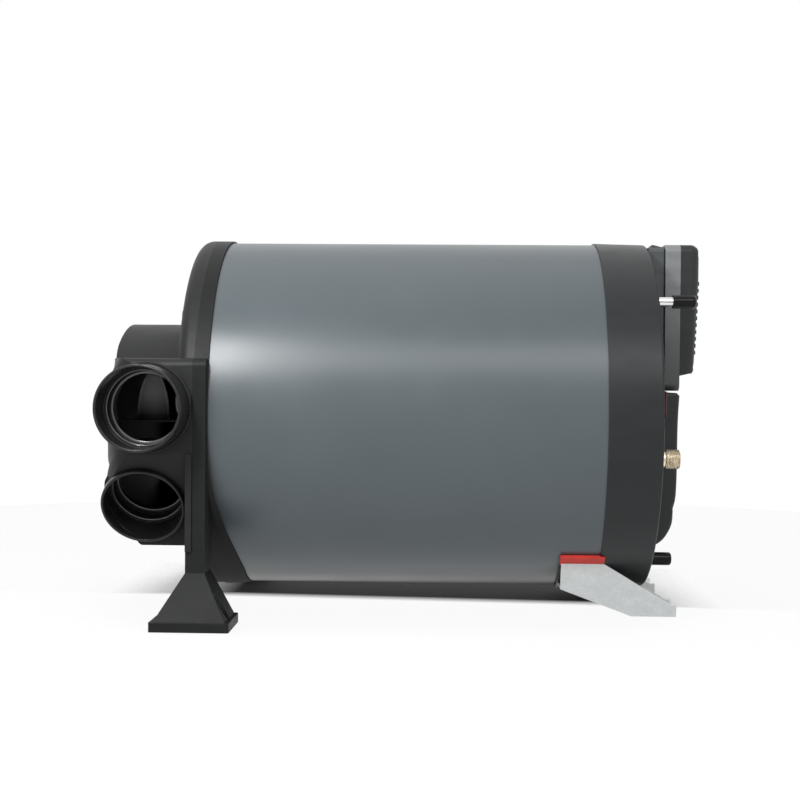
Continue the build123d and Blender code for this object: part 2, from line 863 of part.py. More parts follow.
with BuildPart() as fan_scroll:
    with BuildSketch(across(x_cover)):
        with Locations((grille_y, grille_z)):
            Circle(scroll_radius)
            Circle(scroll_radius - scroll_wall, mode=Mode.SUBTRACT)
    extrude(amount=-scroll_depth)
    with BuildSketch(across(x_cover)):
        with Locations((grille_y, grille_z)):
            Circle(scroll_radius)
            Circle(fan_eye_radius, mode=Mode.SUBTRACT)
    extrude(amount=-scroll_wall)
finish(fan_scroll, "fan_scroll")

x_fan_rear = x_cover - scroll_wall - fan_gap
x_fan_front = x_fan_rear - fan_width
with BuildPart() as fan_wheel:
    rod(x_fan_front, grille_y, grille_z, fan_radius, fan_plate)
    rod(x_fan_front, grille_y, grille_z, fan_hub_radius, fan_width * 0.6)
    with BuildSketch(across(x_fan_front)):
        with Locations((grille_y, grille_z)):
            with PolarLocations(fan_radius - fan_blade_length * 0.6, fan_blade_count):
                Rectangle(fan_blade_length, fan_blade_thickness, rotation=fan_blade_sweep)
    extrude(amount=fan_width)
    with BuildSketch(across(x_fan_rear - fan_plate)):
        with Locations((grille_y, grille_z)):
            Circle(fan_radius)
            Circle(fan_radius - fan_blade_length, mode=Mode.SUBTRACT)
    extrude(amount=fan_plate)
    rod(x_fan_front, grille_y, grille_z, shaft_radius, fan_width, Mode.SUBTRACT)
finish(fan_wheel, "fan_wheel")

x_fan_motor_rear = x_bay + fan_motor_length
with BuildPart() as fan_shaft:
    rod(x_fan_motor_rear - shaft_in_motor, grille_y, grille_z, shaft_radius,
        shaft_in_motor + x_fan_front - x_fan_motor_rear + fan_width * 0.6)
finish(fan_shaft, "fan_shaft")

with BuildPart() as fan_motor:
    rod(x_bay, grille_y, grille_z, fan_motor_radius, fan_motor_length)
    fillet(fan_motor.edges().group_by(Axis.X)[-1], motor_round)
    rod(x_fan_motor_rear - shaft_in_motor, grille_y, grille_z, shaft_radius + running_fit,
        shaft_in_motor, Mode.SUBTRACT)
finish(fan_motor, "fan_motor")


# Combustion air blower: motor inside the cover, impeller outside under its own cover
x_impeller = x_rear + impeller_gap
with BuildPart() as blower_impeller:
    rod(x_impeller, blower_y, blower_z, impeller_radius, fan_plate)
    rod(x_impeller, blower_y, blower_z, 3 * shaft_radius, impeller_width)
    with BuildSketch(across(x_impeller)):
        with Locations((blower_y, blower_z)):
            with PolarLocations(impeller_radius * 0.66, impeller_blade_count):
                Rectangle(impeller_radius * 0.6, fan_blade_thickness, rotation=fan_blade_sweep)
    extrude(amount=impeller_width)
    rod(x_impeller, blower_y, blower_z, shaft_radius, impeller_width, Mode.SUBTRACT)
finish(blower_impeller, "blower_impeller")

with BuildPart() as blower_shaft:
    rod(x_cover - shaft_in_motor, blower_y, blower_z, shaft_radius,
        shaft_in_motor + cover_thickness + impeller_gap + impeller_width)
finish(blower_shaft, "blower_shaft")

with BuildPart() as blower_motor:
    rod(x_cover - blower_motor_length, blower_y, blower_z, blower_motor_radius, blower_motor_length)
    fillet(blower_motor.edges().group_by(Axis.X)[0], motor_round)
    rod(x_cover - shaft_in_motor, blower_y, blower_z, shaft_radius + running_fit,
        shaft_in_motor, Mode.SUBTRACT)
finish(blower_motor, "blower_motor")


def blower_form(inset):
    """The blower's cover as a solid, drawn in by inset."""
    top = box_bottom - blower_cover_gap - inset
    low = -blower_cover_drop + inset
    face = x_rear + blower_cover_depth - inset
    toe_face = x_rear + blower_toe_depth - inset
    bulge = inset * sin(radians(45))
    with BuildPart() as form:
        with BuildSketch(along(-blower_cover_right + inset)):
            with BuildLine():
                ThreePointArc(
                    (x_rear + blower_toe, low),
                    (x_rear + blower_toe_bulge[0] - bulge, -blower_toe_bulge[1] + bulge),
                    (toe_face, -blower_toe_drop),
                )
                Polyline(
                    (toe_face, -blower_toe_drop),
                    (face, top - blower_chamfer),
                    (face - blower_chamfer, top),
                    (x_rear, top),
                    (x_rear, low),
                    (x_rear + blower_toe, low),
                )
            make_face()
        extrude(amount=-(blower_cover_right + blower_cover_left - 2 * inset))
    return form.part


blower_outside = blower_form(0)
blower_inside = blower_form(box_wall)
with BuildPart() as blower_cover:
    add(blower_outside)
    sides = blower_cover.edges().group_by(Axis.Y)
    fillet(ShapeList([edge for edge in sides[0] + sides[-1] if edge.center().X > x_rear + 1]),
           blower_edge_round)
    add(blower_inside, mode=Mode.SUBTRACT)
finish(blower_cover, "blower_cover")


# Control box: base, gasket, frame and ribbed lid
def box_outline(bottom, inset):
    """Outline of the control box seen along the drum, drawn in by inset."""
    width = box_right + box_left - 2 * inset
    height = box_top - bottom - 2 * inset
    with BuildSketch() as outline:
        with Locations(((box_left - box_right) / 2, bottom + inset + height / 2)):
            RectangleRounded(width, height, max(box_corner - inset, 1.0))
    return outline.sketch


box_screw_y = (-(box_right - box_screw_inset), box_left - box_screw_inset)
lid_screw_z = (box_top - box_screw_inset, lid_bottom + box_screw_inset)
frame_screw_z = box_bottom + frame_proud + box_wall + screw_radius + screw_fit
frame_screw_length = box_frame_depth - screw_head_height + gasket_thickness + box_base_depth / 2
with BuildPart() as box_base:
    with BuildSketch(across(x_rear)):
        add(box_outline(box_bottom, frame_proud))
    extrude(amount=box_base_depth)
    with BuildSketch(across(x_rear + box_wall)):
        add(box_outline(box_bottom, frame_proud + box_wall))
    extrude(amount=box_base_depth, mode=Mode.SUBTRACT)
    with BuildSketch(across(x_rear)):
        with Locations((0, box_bottom + 2 * cable_slot)):
            RectangleRounded(4 * cable_slot, cable_slot, cable_slot / 3)
    extrude(amount=box_wall, mode=Mode.SUBTRACT)
    for y in box_screw_y:
        rod(x_rear, y, frame_screw_z, boss_radius, box_base_depth)
        rod(x_rear + box_wall, y, frame_screw_z, screw_radius, box_base_depth, Mode.SUBTRACT)
    board_rise = box_top - frame_proud - box_wall - board_margin - board_height / 2
    board_width = box_right + box_left - 2 * (frame_proud + box_wall + board_margin)
    board_middle = (box_left - box_right) / 2
    for side in (-1, 1):
        for level in (-1, 1):
            rod(x_rear + box_wall, board_middle + side * (board_width / 2 - board_margin),
                board_rise + level * (board_height / 2 - board_margin), screw_radius + 1, board_standoff)
    with BuildSketch(along(tab_inset - box_right)):
        with BuildLine():
            Polyline(
                (x_rear + box_wall, box_top - frame_proud - box_wall / 2),
                (x_rear + tab_back - box_wall / 2, box_top + tab_height),
                (x_rear + tab_back, box_top + tab_height),
                (x_gasket, box_top - frame_proud / 4),
                (x_gasket, box_top - frame_proud - box_wall / 2),
                close=True,
            )
        make_face()
    extrude(amount=-tab_width)
finish(box_base, "control_box_base")

with BuildPart() as box_gasket:
    with BuildSketch(across(x_gasket)):
        add(box_outline(box_bottom, frame_proud + gasket_inset))
        add(box_outline(box_bottom, frame_proud + box_wall), mode=Mode.SUBTRACT)
        tail_y = -blower_cover_right - seat_gap - gasket_thickness
        tail_top = box_bottom - seat_gap
        root_y = -box_right + 2 * box_corner
        with BuildLine():
            Polyline(
                (root_y, box_bottom + frame_proud + box_wall / 2),
                (root_y - box_wall, box_bottom + frame_proud + box_wall / 2),
                (root_y - box_wall, tail_top),
                (tail_y, tail_top),
                (tail_y, 0),
                (tail_y + gasket_thickness, 0),
                (tail_y + gasket_thickness, tail_top - gasket_thickness),
                (root_y, tail_top - gasket_thickness),
                close=True,
            )
        make_face()
    extrude(amount=gasket_thickness)
finish(box_gasket, "control_box_gasket")

with BuildPart() as box_frame:
    with BuildSketch(across(x_frame)):
        add(box_outline(box_bottom, 0))
    extrude(amount=box_frame_depth)
    with BuildSketch(across(x_frame)):
        add(box_outline(box_bottom, box_wall + frame_proud))
    extrude(amount=box_frame_depth - box_wall, mode=Mode.SUBTRACT)
    with BuildSketch(across(x_frame)):
        add(box_outline(lid_bottom, box_wall + frame_proud))
    extrude(amount=box_frame_depth, mode=Mode.SUBTRACT)
    for y in box_screw_y:
        for z in lid_screw_z:
            rod(x_frame, y, z, boss_radius, box_frame_depth)
            rod(x_frame, y, z, screw_radius, box_frame_depth, Mode.SUBTRACT)
        rod(x_frame, y, frame_screw_z, boss_radius, box_frame_depth)
        rod(x_frame, y, frame_screw_z, screw_radius + screw_fit, box_frame_depth, Mode.SUBTRACT)
        rod(x_lid - screw_head_height, y, frame_screw_z, screw_head_radius + screw_fit,
            screw_head_height, Mode.SUBTRACT)
finish(box_frame, "control_box_frame")


def lid_form(inset):
    """The lid as a solid, drawn in by inset: its rear face leans in towards its foot."""
    with BuildPart() as form:
        with BuildSketch(across(x_lid)):
            add(box_outline(lid_bottom, inset))
        extrude(amount=box_lid_depth)
        with BuildSketch(along(0)):
            with BuildLine():
                Polyline(
                    (x_lid, lid_bottom + inset),
                    (x_end - lid_lean - lid_foot_chamfer - inset, lid_bottom + lid_foot_rise + inset),
                    (x_end - lid_lean - inset, lid_bottom + lid_foot_rise + lid_foot_chamfer + inset),
                    (x_end - inset, lid_face_top),
                    (x_end - inset, box_top - inset),
                    (x_lid, box_top - inset),
                    close=True,
                )
            make_face()
        extrude(amount=2 * box_right, both=True, mode=Mode.INTERSECT)
    return form.part


def lid_face(rise):
    """Station of the lid's rear face at a height above the drum's axis."""
    return x_end - lid_slope * max(lid_face_top - rise, 0)


lid_outside = lid_form(0)
lid_inside = lid_form(box_wall)
with BuildPart() as box_lid:
    add(lid_outside)
    top_edge = box_lid.edges().filter_by(Axis.Y).filter_by(
        lambda edge: edge.center().X > x_end - 0.1
    ).sort_by(Axis.Z)[-1]
    fillet(top_edge, lid_top_round)
    add(lid_inside, mode=Mode.SUBTRACT)
    for index in range(lid_rib_count):
        rise = lid_rib_top - index * lid_rib_pitch
        with BuildSketch(across(lid_face(rise) - box_wall)):
            with Locations(((box_left - box_right) / 2, rise)):
                Rectangle(box_right + box_left - 2 * lid_rib_margin, lid_rib_height)
        extrude(amount=box_wall + lid_rib_proud)
    for y in box_screw_y:
        for z in lid_screw_z:
            seat = lid_face(z) - lid_screw_sink
            rod(x_lid, y, z, boss_radius + 1, seat + lid_screw_sink / 2 - x_lid)
            rod(seat, y, z, screw_head_radius + screw_fit, box_lid_depth, Mode.SUBTRACT)
            rod(x_lid, y, z, screw_radius + screw_fit, box_lid_depth, Mode.SUBTRACT)
finish(box_lid, "control_box_lid")

with BuildPart() as circuit_board:
    x_board = x_rear + box_wall + board_standoff
    with BuildSketch(across(x_board)):
        with Locations((board_middle, board_rise)):
            Rectangle(board_width, board_height)
    extrude(amount=board_thickness)
    for y, z, wide, high, deep in board_parts:
        with BuildSketch(across(x_board + board_thickness)):
            with Locations((board_middle + y, board_rise + z)):
                Rectangle(wide, high)
        extrude(amount=deep)
    for y, z in board_capacitors:
        rod(x_board + board_thickness, board_middle + y, board_rise + z, capacitor_radius, capacitor_height)
finish(circuit_board, "circuit_board")


# Water pipes with pull-off caps
def pipe_route(port, outlet, end):
    """Route of a water pipe from its port in the tank to its free end."""
    return [
        (x_tank_rear - tank_wall, port[0], axis_height + port[1]),
        (x_bay + pipe_lead, port[0], axis_height + port[1]),
        (x_cover - pipe_lead, outlet[0], axis_height + outlet[1]),
        (end, outlet[0], axis_height + outlet[1]),
    ]


hot_cap_x = x_rear + hot_cap_standoff
cold_cap_x = x_rear + cold_cap_standoff
for name, port, outlet, cap_x in (
    ("hot", hot_port, (hot_pipe_y, hot_pipe_z), hot_cap_x),
    ("cold", cold_port, (cold_pipe_y, cold_pipe_z), cold_cap_x),
):
    with BuildPart() as pipe:
        with BuildLine() as route:
            FilletPolyline(pipe_route(port, outlet, cap_x + pipe_in_cap), radius=pipe_bend)
        with BuildSketch(Plane(origin=route.line @ 0, z_dir=route.line % 0)):
            Circle(pipe_radius)
            Circle(pipe_bore, mode=Mode.SUBTRACT)
        sweep()
    finish(pipe, f"{name}_water_pipe")
    with BuildPart() as pipe_cap:
        rod(cap_x, outlet[0], outlet[1], pipe_cap_radius, pipe_cap_length)
        fillet(pipe_cap.edges().group_by(Axis.X)[-1], pipe_cap_radius * 0.45)
        rod(cap_x, outlet[0], outlet[1], pipe_radius + running_fit, pipe_in_cap + 1, Mode.SUBTRACT)
    finish(pipe_cap, f"{name}_pipe_cap")


# Gas valve, gas inlet and the pipe to the burner
with BuildPart() as gas_valve:
    with BuildSketch(across(x_cover)):
        with Locations((gas_y + gas_valve_offset, gas_z)):
            RectangleRounded(gas_valve_width, gas_valve_height, 3)
    extrude(amount=-gas_valve_depth)
    with BuildSketch(Plane.XY.offset(axis_height + gas_z + gas_valve_height / 2)):
        with Locations((x_cover - gas_valve_depth / 2, gas_y + gas_valve_offset)):
            Circle(gas_coil_radius)
    extrude(amount=gas_coil_height)
    rod(x_cover - 2 * gas_collar_length, gas_y, gas_z, gas_bore, 2 * gas_collar_length, Mode.SUBTRACT)
finish(gas_valve, "gas_valve")

with BuildPart() as gas_inlet:
    rod(x_cover, gas_y, gas_z, gas_collar_radius, cover_thickness + gas_collar_length)
    rod(x_rear + gas_collar_length, gas_y, gas_z, gas_radius, gas_length - gas_collar_length)
    fillet(gas_inlet.edges().group_by(Axis.X)[-1], gas_edge_round)
    rod(x_cover, gas_y, gas_z, gas_bore, gas_length + cover_thickness, Mode.SUBTRACT)
finish(gas_inlet, "gas_inlet")

with BuildPart() as gas_pipe:
    valve_face = x_cover - gas_valve_depth
    burner_port = x_bay + burner_head_length / 2
    with BuildLine() as route:
        FilletPolyline(
            (valve_face, gas_y + gas_valve_offset, axis_height + gas_z),
            (burner_port, gas_y + gas_valve_offset, axis_height + gas_z),
            (burner_port, -gas_boss_reach - 2 * pipe_bend, axis_height),
            (burner_port, -gas_boss_reach, axis_height),
            radius=pipe_bend * 0.7,
        )
    with BuildSketch(Plane(origin=route.line @ 0, z_dir=route.line % 0)):
        Circle(pipe_radius)
    sweep()
finish(gas_pipe, "gas_pipe")


# Flue: a collar for the air hose round the exhaust pipe
with BuildPart() as flue_collar:
    with BuildSketch(across(x_rear)):
        with Locations((flue_y, flue_z)):
            Circle(flue_radius)
            Circle(flue_radius - flue_wall, mode=Mode.SUBTRACT)
    extrude(amount=flue_length)
    for band in range(2):
        with BuildSketch(across(x_rear + flue_length - flue_groove * (2 + 3 * band))):
            with Locations((flue_y, flue_z)):
                Circle(flue_radius + flue_wall)
                Circle(flue_radius - flue_groove_depth, mode=Mode.SUBTRACT)
        extrude(amount=flue_groove, mode=Mode.SUBTRACT)
finish(flue_collar, "flue_collar")

with BuildPart() as exhaust_pipe:
    with BuildLine() as route:
        FilletPolyline(
            (x_bulkhead - exchanger_flange, exhaust_port[0], axis_height + exhaust_port[1]),
            (x_bay + exhaust_lead, exhaust_port[0], axis_height + exhaust_port[1]),
            (x_cover - exhaust_lead, flue_y, axis_height + flue_z),
            (x_rear + flue_length + exhaust_extra, flue_y, axis_height + flue_z),
            radius=exhaust_bend,
        )
    with BuildSketch(Plane(origin=route.line @ 0, z_dir=route.line % 0)):
        Circle(exhaust_radius)
        Circle(exhaust_radius - exhaust_wall, mode=Mode.SUBTRACT)
    sweep()
finish(exhaust_pipe, "exhaust_pipe")


# Rear feet: folded channels under the drum, each with a silicone saddle pad
foot_start = x_ring - rear_foot_start
foot_end = x_rear + rear_foot_overhang
flat_start = foot_end - rear_foot_flat


def rear_foot_form(hand, outline, inset):
    """A channel with a given outline from the side; its outer wall leans out, drawn in by inset."""
    outer = rear_foot_outer - inset
    inner = rear_foot_inner + inset
    lean = 2 * rear_foot_top * tan(radians(rear_foot_lean))
    with BuildPart() as form:
        with BuildSketch(along(0)):
            with BuildLine():
                Polyline(*outline, close=True)
            make_face()
        extrude(amount=2 * rear_foot_outer, both=True)
        with BuildSketch(across(foot_start - sheet)):
            with BuildLine():
                Polyline(
                    (hand * inner, -axis_height),
                    (hand * outer, -axis_height),
                    (hand * (outer + lean), 2 * rear_foot_top - axis_height),
                    (hand * inner, 2 * rear_foot_top - axis_height),
                    close=True,
                )
            make_face()
        extrude(amount=foot_end - foot_start + 2 * sheet, mode=Mode.INTERSECT)
    return form.part


foot_outline = [
    (foot_start, rear_foot_heel - axis_height),
    (flat_start, -axis_height),
    (foot_end, -axis_height),
    (foot_end, rear_foot_toe - axis_height),
    (foot_end - rear_foot_lip, rear_foot_toe - axis_height),
    (foot_start + rear_foot_seat, rear_foot_top - axis_height),
    (foot_start, rear_foot_top - axis_height),
]
foot_hollow = [
    (foot_start - sheet, rear_foot_heel + sheet - axis_height),
    (foot_start, rear_foot_heel + sheet - axis_height),
    (flat_start, sheet - axis_height),
    (foot_end + sheet, sheet - axis_height),
    (foot_end + sheet, 2 * rear_foot_top - axis_height),
    (foot_start - sheet, 2 * rear_foot_top - axis_height),
]
for hand in (-1, 1):
    channel = rear_foot_form(hand, foot_outline, 0)
    channel_hollow = rear_foot_form(hand, foot_hollow, sheet)
    with BuildPart() as rear_foot:
        add(channel)
        add(channel_hollow, mode=Mode.SUBTRACT)
        rod(foot_start - sheet, 0, 0, jacket_radius + pad_thickness, foot_end - foot_start + 2 * sheet,
            Mode.SUBTRACT)
        with BuildSketch(Plane.XY):
            slot_y = hand * (rear_foot_outer + rear_foot_inner) / 2
            with Locations((foot_end - rear_slot_inset, slot_y)):
                SlotOverall(rear_slot_length, foot_slot_width, rotation=90)
        extrude(amount=2 * sheet, mode=Mode.SUBTRACT)
    finish(rear_foot, f"rear_foot_{HANDS[hand]}")

    with BuildPart() as pad:
        with BuildSketch(across(foot_start - pad_overhang)):
            Circle(jacket_radius + pad_thickness)
            Circle(jacket_radius, mode=Mode.SUBTRACT)
            reach = 2 * jacket_radius
            low, high = radians(pad_outer_angle), radians(pad_inner_angle)
            with BuildLine():
                Polyline(
                    (0, 0),
                    (hand * reach * cos(low), -reach * sin(low)),
                    (hand * reach * cos(high), -reach * sin(high)),
                    close=True,
                )
            make_face(mode=Mode.INTERSECT)
        extrude(amount=rear_foot_seat + 2 * pad_overhang)
        rod(x_ring - seat_gap, 0, 0, ring_front_radius + running_fit, rear_foot_seat, Mode.SUBTRACT)
    finish(pad, f"rear_pad_{HANDS[hand]}")


# Screws with pan heads; a head that faces forward has its way set to -1
def screw(x, y, z, length, way=1):
    """A screw whose head sits on station x."""
    rod(min(x, x + way * screw_head_height), y, z, screw_head_radius, screw_head_height)
    rod(min(x, x - way * length), y, z, screw_radius, length)


with BuildPart() as distributor_screws:
    for y, z in rim_screws:
        screw(x_seam - rim_depth, y, z, rim_depth + cap_depth * 0.8, -1)
finish(distributor_screws, "distributor_screws")

with BuildPart() as rear_cover_screws:
    for y, z in cover_screws:
        screw(x_rear - screw_head_height, y, z,
              cover_thickness - screw_head_height + cover_boss_length * 0.8)
finish(rear_cover_screws, "rear_cover_screws")

with BuildPart() as box_screws:
    for y in box_screw_y:
        screw(x_lid - screw_head_height, y, frame_screw_z, frame_screw_length)
        for z in lid_screw_z:
            screw(lid_face(z) - lid_screw_sink, y, z, lid_screw_length)
finish(box_screws, "control_box_screws")
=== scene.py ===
import json
from math import cos, pi, radians, sin

import bmesh
import bpy
from mathutils import Matrix, Vector


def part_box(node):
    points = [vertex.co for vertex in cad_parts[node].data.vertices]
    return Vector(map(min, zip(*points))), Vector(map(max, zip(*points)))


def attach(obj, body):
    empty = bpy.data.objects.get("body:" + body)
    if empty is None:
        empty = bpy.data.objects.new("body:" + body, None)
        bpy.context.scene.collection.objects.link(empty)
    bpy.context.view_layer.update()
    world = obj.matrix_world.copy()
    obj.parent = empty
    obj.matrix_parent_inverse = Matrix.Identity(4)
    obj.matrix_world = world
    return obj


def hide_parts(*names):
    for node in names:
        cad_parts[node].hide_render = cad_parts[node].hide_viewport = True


# Looks of a motor home combi heater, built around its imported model.
# Metres, in the model's own frame: +X along the drum, -Y towards the camera, +Z up.

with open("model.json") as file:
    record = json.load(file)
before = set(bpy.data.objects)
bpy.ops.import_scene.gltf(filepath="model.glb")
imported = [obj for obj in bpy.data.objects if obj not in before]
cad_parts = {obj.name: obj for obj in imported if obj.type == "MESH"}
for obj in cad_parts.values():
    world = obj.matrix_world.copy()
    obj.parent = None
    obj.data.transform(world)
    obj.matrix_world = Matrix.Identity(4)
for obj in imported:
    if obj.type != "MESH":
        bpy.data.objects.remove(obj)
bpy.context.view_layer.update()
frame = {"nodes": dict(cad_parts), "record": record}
nodes = frame["nodes"]

MM = 0.001
AXIS_HEIGHT = 157 * MM
JACKET_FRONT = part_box("jacket")[0].x
SHARP = radians(32)  # faces that turn by more than this meet in a crisp edge

# Mouth of an outlet: mm ahead of the jacket's front, out and up, and how far it looks down
UPPER_MOUTH = (43, 184, 163.3, 0)
LOWER_MOUTH = (50.2, 128.7, 87, radians(28.6))

# Camera: metres from the front end of the jacket, degrees, and mm of lens
CAMERA_AHEAD = 0.1788
CAMERA_AWAY = 1.1916
CAMERA_HEIGHT = 0.1872
CAMERA_YAW = 1.87
CAMERA_PITCH = -0.92
CAMERA_ROLL = -0.47
LENS = 63.7


# Camera, lamps and world
def place_camera():
    """The photograph's own view."""
    lens = bpy.data.cameras.new("camera")
    lens.lens = LENS
    lens.sensor_width = 36.0
    camera = bpy.data.objects.new("camera", lens)
    bpy.context.scene.collection.objects.link(camera)
    turn = (
        Matrix.Rotation(radians(CAMERA_YAW), 4, "Z")
        @ Matrix.Rotation(radians(CAMERA_PITCH), 4, "X")
        @ Matrix.Rotation(radians(CAMERA_ROLL), 4, "Y")
        @ Matrix.Rotation(radians(90), 4, "X")
    )
    spot = Vector((JACKET_FRONT + CAMERA_AHEAD, -CAMERA_AWAY, CAMERA_HEIGHT))
    camera.matrix_world = Matrix.Translation(spot) @ turn
    bpy.context.scene.camera = camera


def softbox(name, spot, target, width, height, power):
    """A rectangular lamp that faces a target."""
    lamp = bpy.data.lights.new(name, "AREA")
    lamp.shape = "RECTANGLE"
    lamp.size = width
    lamp.size_y = height
    lamp.energy = power
    piece = bpy.data.objects.new(name, lamp)
    bpy.context.scene.collection.objects.link(piece)
    piece.visible_camera = False
    turn = (Vector(spot) - Vector(target)).to_track_quat("Z", "Y").to_matrix().to_4x4()
    piece.matrix_world = Matrix.Translation(Vector(spot)) @ turn


def light_world(level):
    """A world that is white to the eye and in reflections, and lights at a lower level."""
    world = bpy.data.worlds.new("world")
    bpy.context.scene.world = world
    world.use_nodes = True
    tree = world.node_tree
    tree.nodes.clear()
    out = tree.nodes.new("ShaderNodeOutputWorld")
    lamp = tree.nodes.new("ShaderNodeBackground")
    white = tree.nodes.new("ShaderNodeBackground")
    lamp.inputs["Color"].default_value = (level, level, level, 1)
    white.inputs["Color"].default_value = (1, 1, 1, 1)
    path = tree.nodes.new("ShaderNodeLightPath")
    seen = path.outputs["Is Camera Ray"]
    for kind in ("Is Glossy Ray", "Is Transmission Ray"):
        both = tree.nodes.new("ShaderNodeMath")
        both.operation = "MAXIMUM"
        tree.links.new(seen, both.inputs[0])
        tree.links.new(path.outputs[kind], both.inputs[1])
        seen = both.outputs[0]
    mix = tree.nodes.new("ShaderNodeMixShader")
    tree.links.new(seen, mix.inputs[0])
    tree.links.new(lamp.outputs[0], mix.inputs[1])
    tree.links.new(white.outputs[0], mix.inputs[2])
    tree.links.new(mix.outputs[0], out.inputs[0])


# Materials: short calls that build a node tree
class Finish:
    """A material with a principled shader, and calls that add its detail."""

    def __init__(self, name, colour, roughness, metallic=0.0):
        self.material = bpy.data.materials.new(name)
        self.material.use_nodes = True
        self.material.diffuse_color = (*colour, 1)
        self.tree = self.material.node_tree
        self.tree.nodes.clear()
        self.out = self.node("OutputMaterial")
        self.shader = self.node("BsdfPrincipled")
        self.link(self.shader.outputs[0], self.out.inputs[0])
        self.shader.inputs["Base Color"].default_value = (*colour, 1)
        self.shader.inputs["Roughness"].default_value = roughness
        self.shader.inputs["Metallic"].default_value = metallic
        self.place = self.node("TexCoord").outputs["Object"]
        self.normal = None

    def node(self, kind):
        return self.tree.nodes.new("ShaderNode" + kind)

    def link(self, source, target):
        self.tree.links.new(source, target)

    def math(self, operation, first, second=0.0):
        """The result of an operation on two values, each a number or an output."""
        step = self.node("Math")
        step.operation = operation
        for socket, value in zip(step.inputs, (first, second)):
            if isinstance(value, (int, float)):
                socket.default_value = value
            else:
                self.link(value, socket)
        return step.outputs[0]

    def noise(self, size, detail=2.0, stretch=(1, 1, 1), rough=0.5):
        """Noise whose features are about size across, from 0 to 1."""
        shape = self.node("Mapping")
        shape.inputs["Scale"].default_value = [1 / (size * s) for s in stretch]
        self.link(self.place, shape.inputs[0])
        noise = self.node("TexNoise")
        noise.inputs["Scale"].default_value = 1.0
        noise.inputs["Detail"].default_value = detail
        noise.inputs["Roughness"].default_value = rough
        self.link(shape.outputs[0], noise.inputs["Vector"])
        return noise.outputs["Fac"]

    def cells(self, size, feature="F1", output="Distance", stretch=(1, 1, 1)):
        """Cells about size across."""
        shape = self.node("Mapping")
        shape.inputs["Scale"].default_value = [1 / (size * s) for s in stretch]
        self.link(self.place, shape.inputs[0])
        cells = self.node("TexVoronoi")
        cells.feature = feature
        cells.inputs["Scale"].default_value = 1.0
        self.link(shape.outputs[0], cells.inputs["Vector"])
        return cells.outputs[output]

    def spread(self, value, low, high, start=0.3, end=0.7):
        """The value's span from start to end as one from low to high."""
        span = self.node("MapRange")
        self.link(value, span.inputs["Value"])
        span.inputs["From Min"].default_value = start
        span.inputs["From Max"].default_value = end
        span.inputs["To Min"].default_value = low
        span.inputs["To Max"].default_value = high
        return span.outputs[0]

    def blend(self, factor, first, second):
        """A mix of two colours, each a colour or an output."""
        mix = self.node("Mix")
        mix.data_type = "RGBA"
        self.link(factor, mix.inputs["Factor"])
        for socket, value in zip((mix.inputs[6], mix.inputs[7]), (first, second)):
            if isinstance(value, tuple):
                socket.default_value = (*value, 1)
            else:
                self.link(value, socket)
        return mix.outputs[2]

    def edges(self, radius):
        """Rounds the look of sharp edges, and gives a mask of where they are."""
        bevel = self.node("Bevel")
        bevel.samples = 4
        bevel.inputs["Radius"].default_value = radius
        self.normal = bevel.outputs[0]
        flat = self.node("NewGeometry")
        dot = self.node("VectorMath")
        dot.operation = "DOT_PRODUCT"
        self.link(bevel.outputs[0], dot.inputs[0])
        self.link(flat.outputs["Normal"], dot.inputs[1])
        return self.spread(dot.outputs["Value"], 1.0, 0.0, 0.72, 0.99)

    def shelter(self, reach, low, start, end):
        """A factor that falls to low where walls closer than reach shut the light out."""
        open_air = self.node("AmbientOcclusion")
        open_air.samples = 8
        open_air.inputs["Distance"].default_value = reach
        return self.spread(open_air.outputs["AO"], low, 1.0, start, end)

    def height(self, low, high):
        """A factor from 0 at the height low to 1 at high."""
        axes = self.node("SeparateXYZ")
        self.link(self.place, axes.inputs[0])
        return self.spread(axes.outputs["Z"], 0, 1, low, high)

    def bump(self, height, depth):
        """Adds relief of a depth in metres over what is there."""
        bump = self.node("Bump")
        bump.inputs["Distance"].default_value = depth
        bump.inputs["Strength"].default_value = 1.0
        self.link(height, bump.inputs["Height"])
        if self.normal is not None:
            self.link(self.normal, bump.inputs["Normal"])
        self.normal = bump.outputs[0]

    def done(self, colour, roughness=None, specular=None):
        """Joins the detail to the shader; specular is a plain number."""
        self.link(colour, self.shader.inputs["Base Color"])
        if roughness is not None:
            self.link(roughness, self.shader.inputs["Roughness"])
        if self.normal is not None:
            self.link(self.normal, self.shader.inputs["Normal"])
        if specular is not None:
            self.shader.inputs["Specular IOR Level"].default_value = specular
        return self.material


def shade(colour, factor):
    """A colour made lighter or darker."""
    return tuple(min(1.0, c * factor) for c in colour)


def jacket_paint():
    """Satin blue-grey powder coat: fine orange peel, faint clouds, and painted shade close to the
    floor and to parts near it.
    """
    colour = (0.074, 0.091, 0.100)
    paint = Finish("jacket_paint", colour, 0.31)
    clouds = paint.noise(60 * MM, 3)
    fleck = paint.noise(0.5 * MM, 1)
    peel = paint.noise(2.2 * MM, 2)
    tone = paint.blend(paint.spread(clouds, 0, 1), shade(colour, 0.96), shade(colour, 1.04))
    tone = paint.blend(paint.spread(fleck, 0, 0.12, 0.55, 0.8), tone, shade(colour, 1.6))
    # Painted shade: the paint goes nearly black where the floor and nearby parts come close
    tone = paint.blend(paint.shelter(42 * MM, 0, 0.52, 0.84), shade(colour, 0.10), tone)
    paint.bump(peel, 0.012 * MM)
    paint.bump(fleck, 0.004 * MM)
    return paint.done(tone, paint.spread(clouds, 0.29, 0.34), specular=0.5)


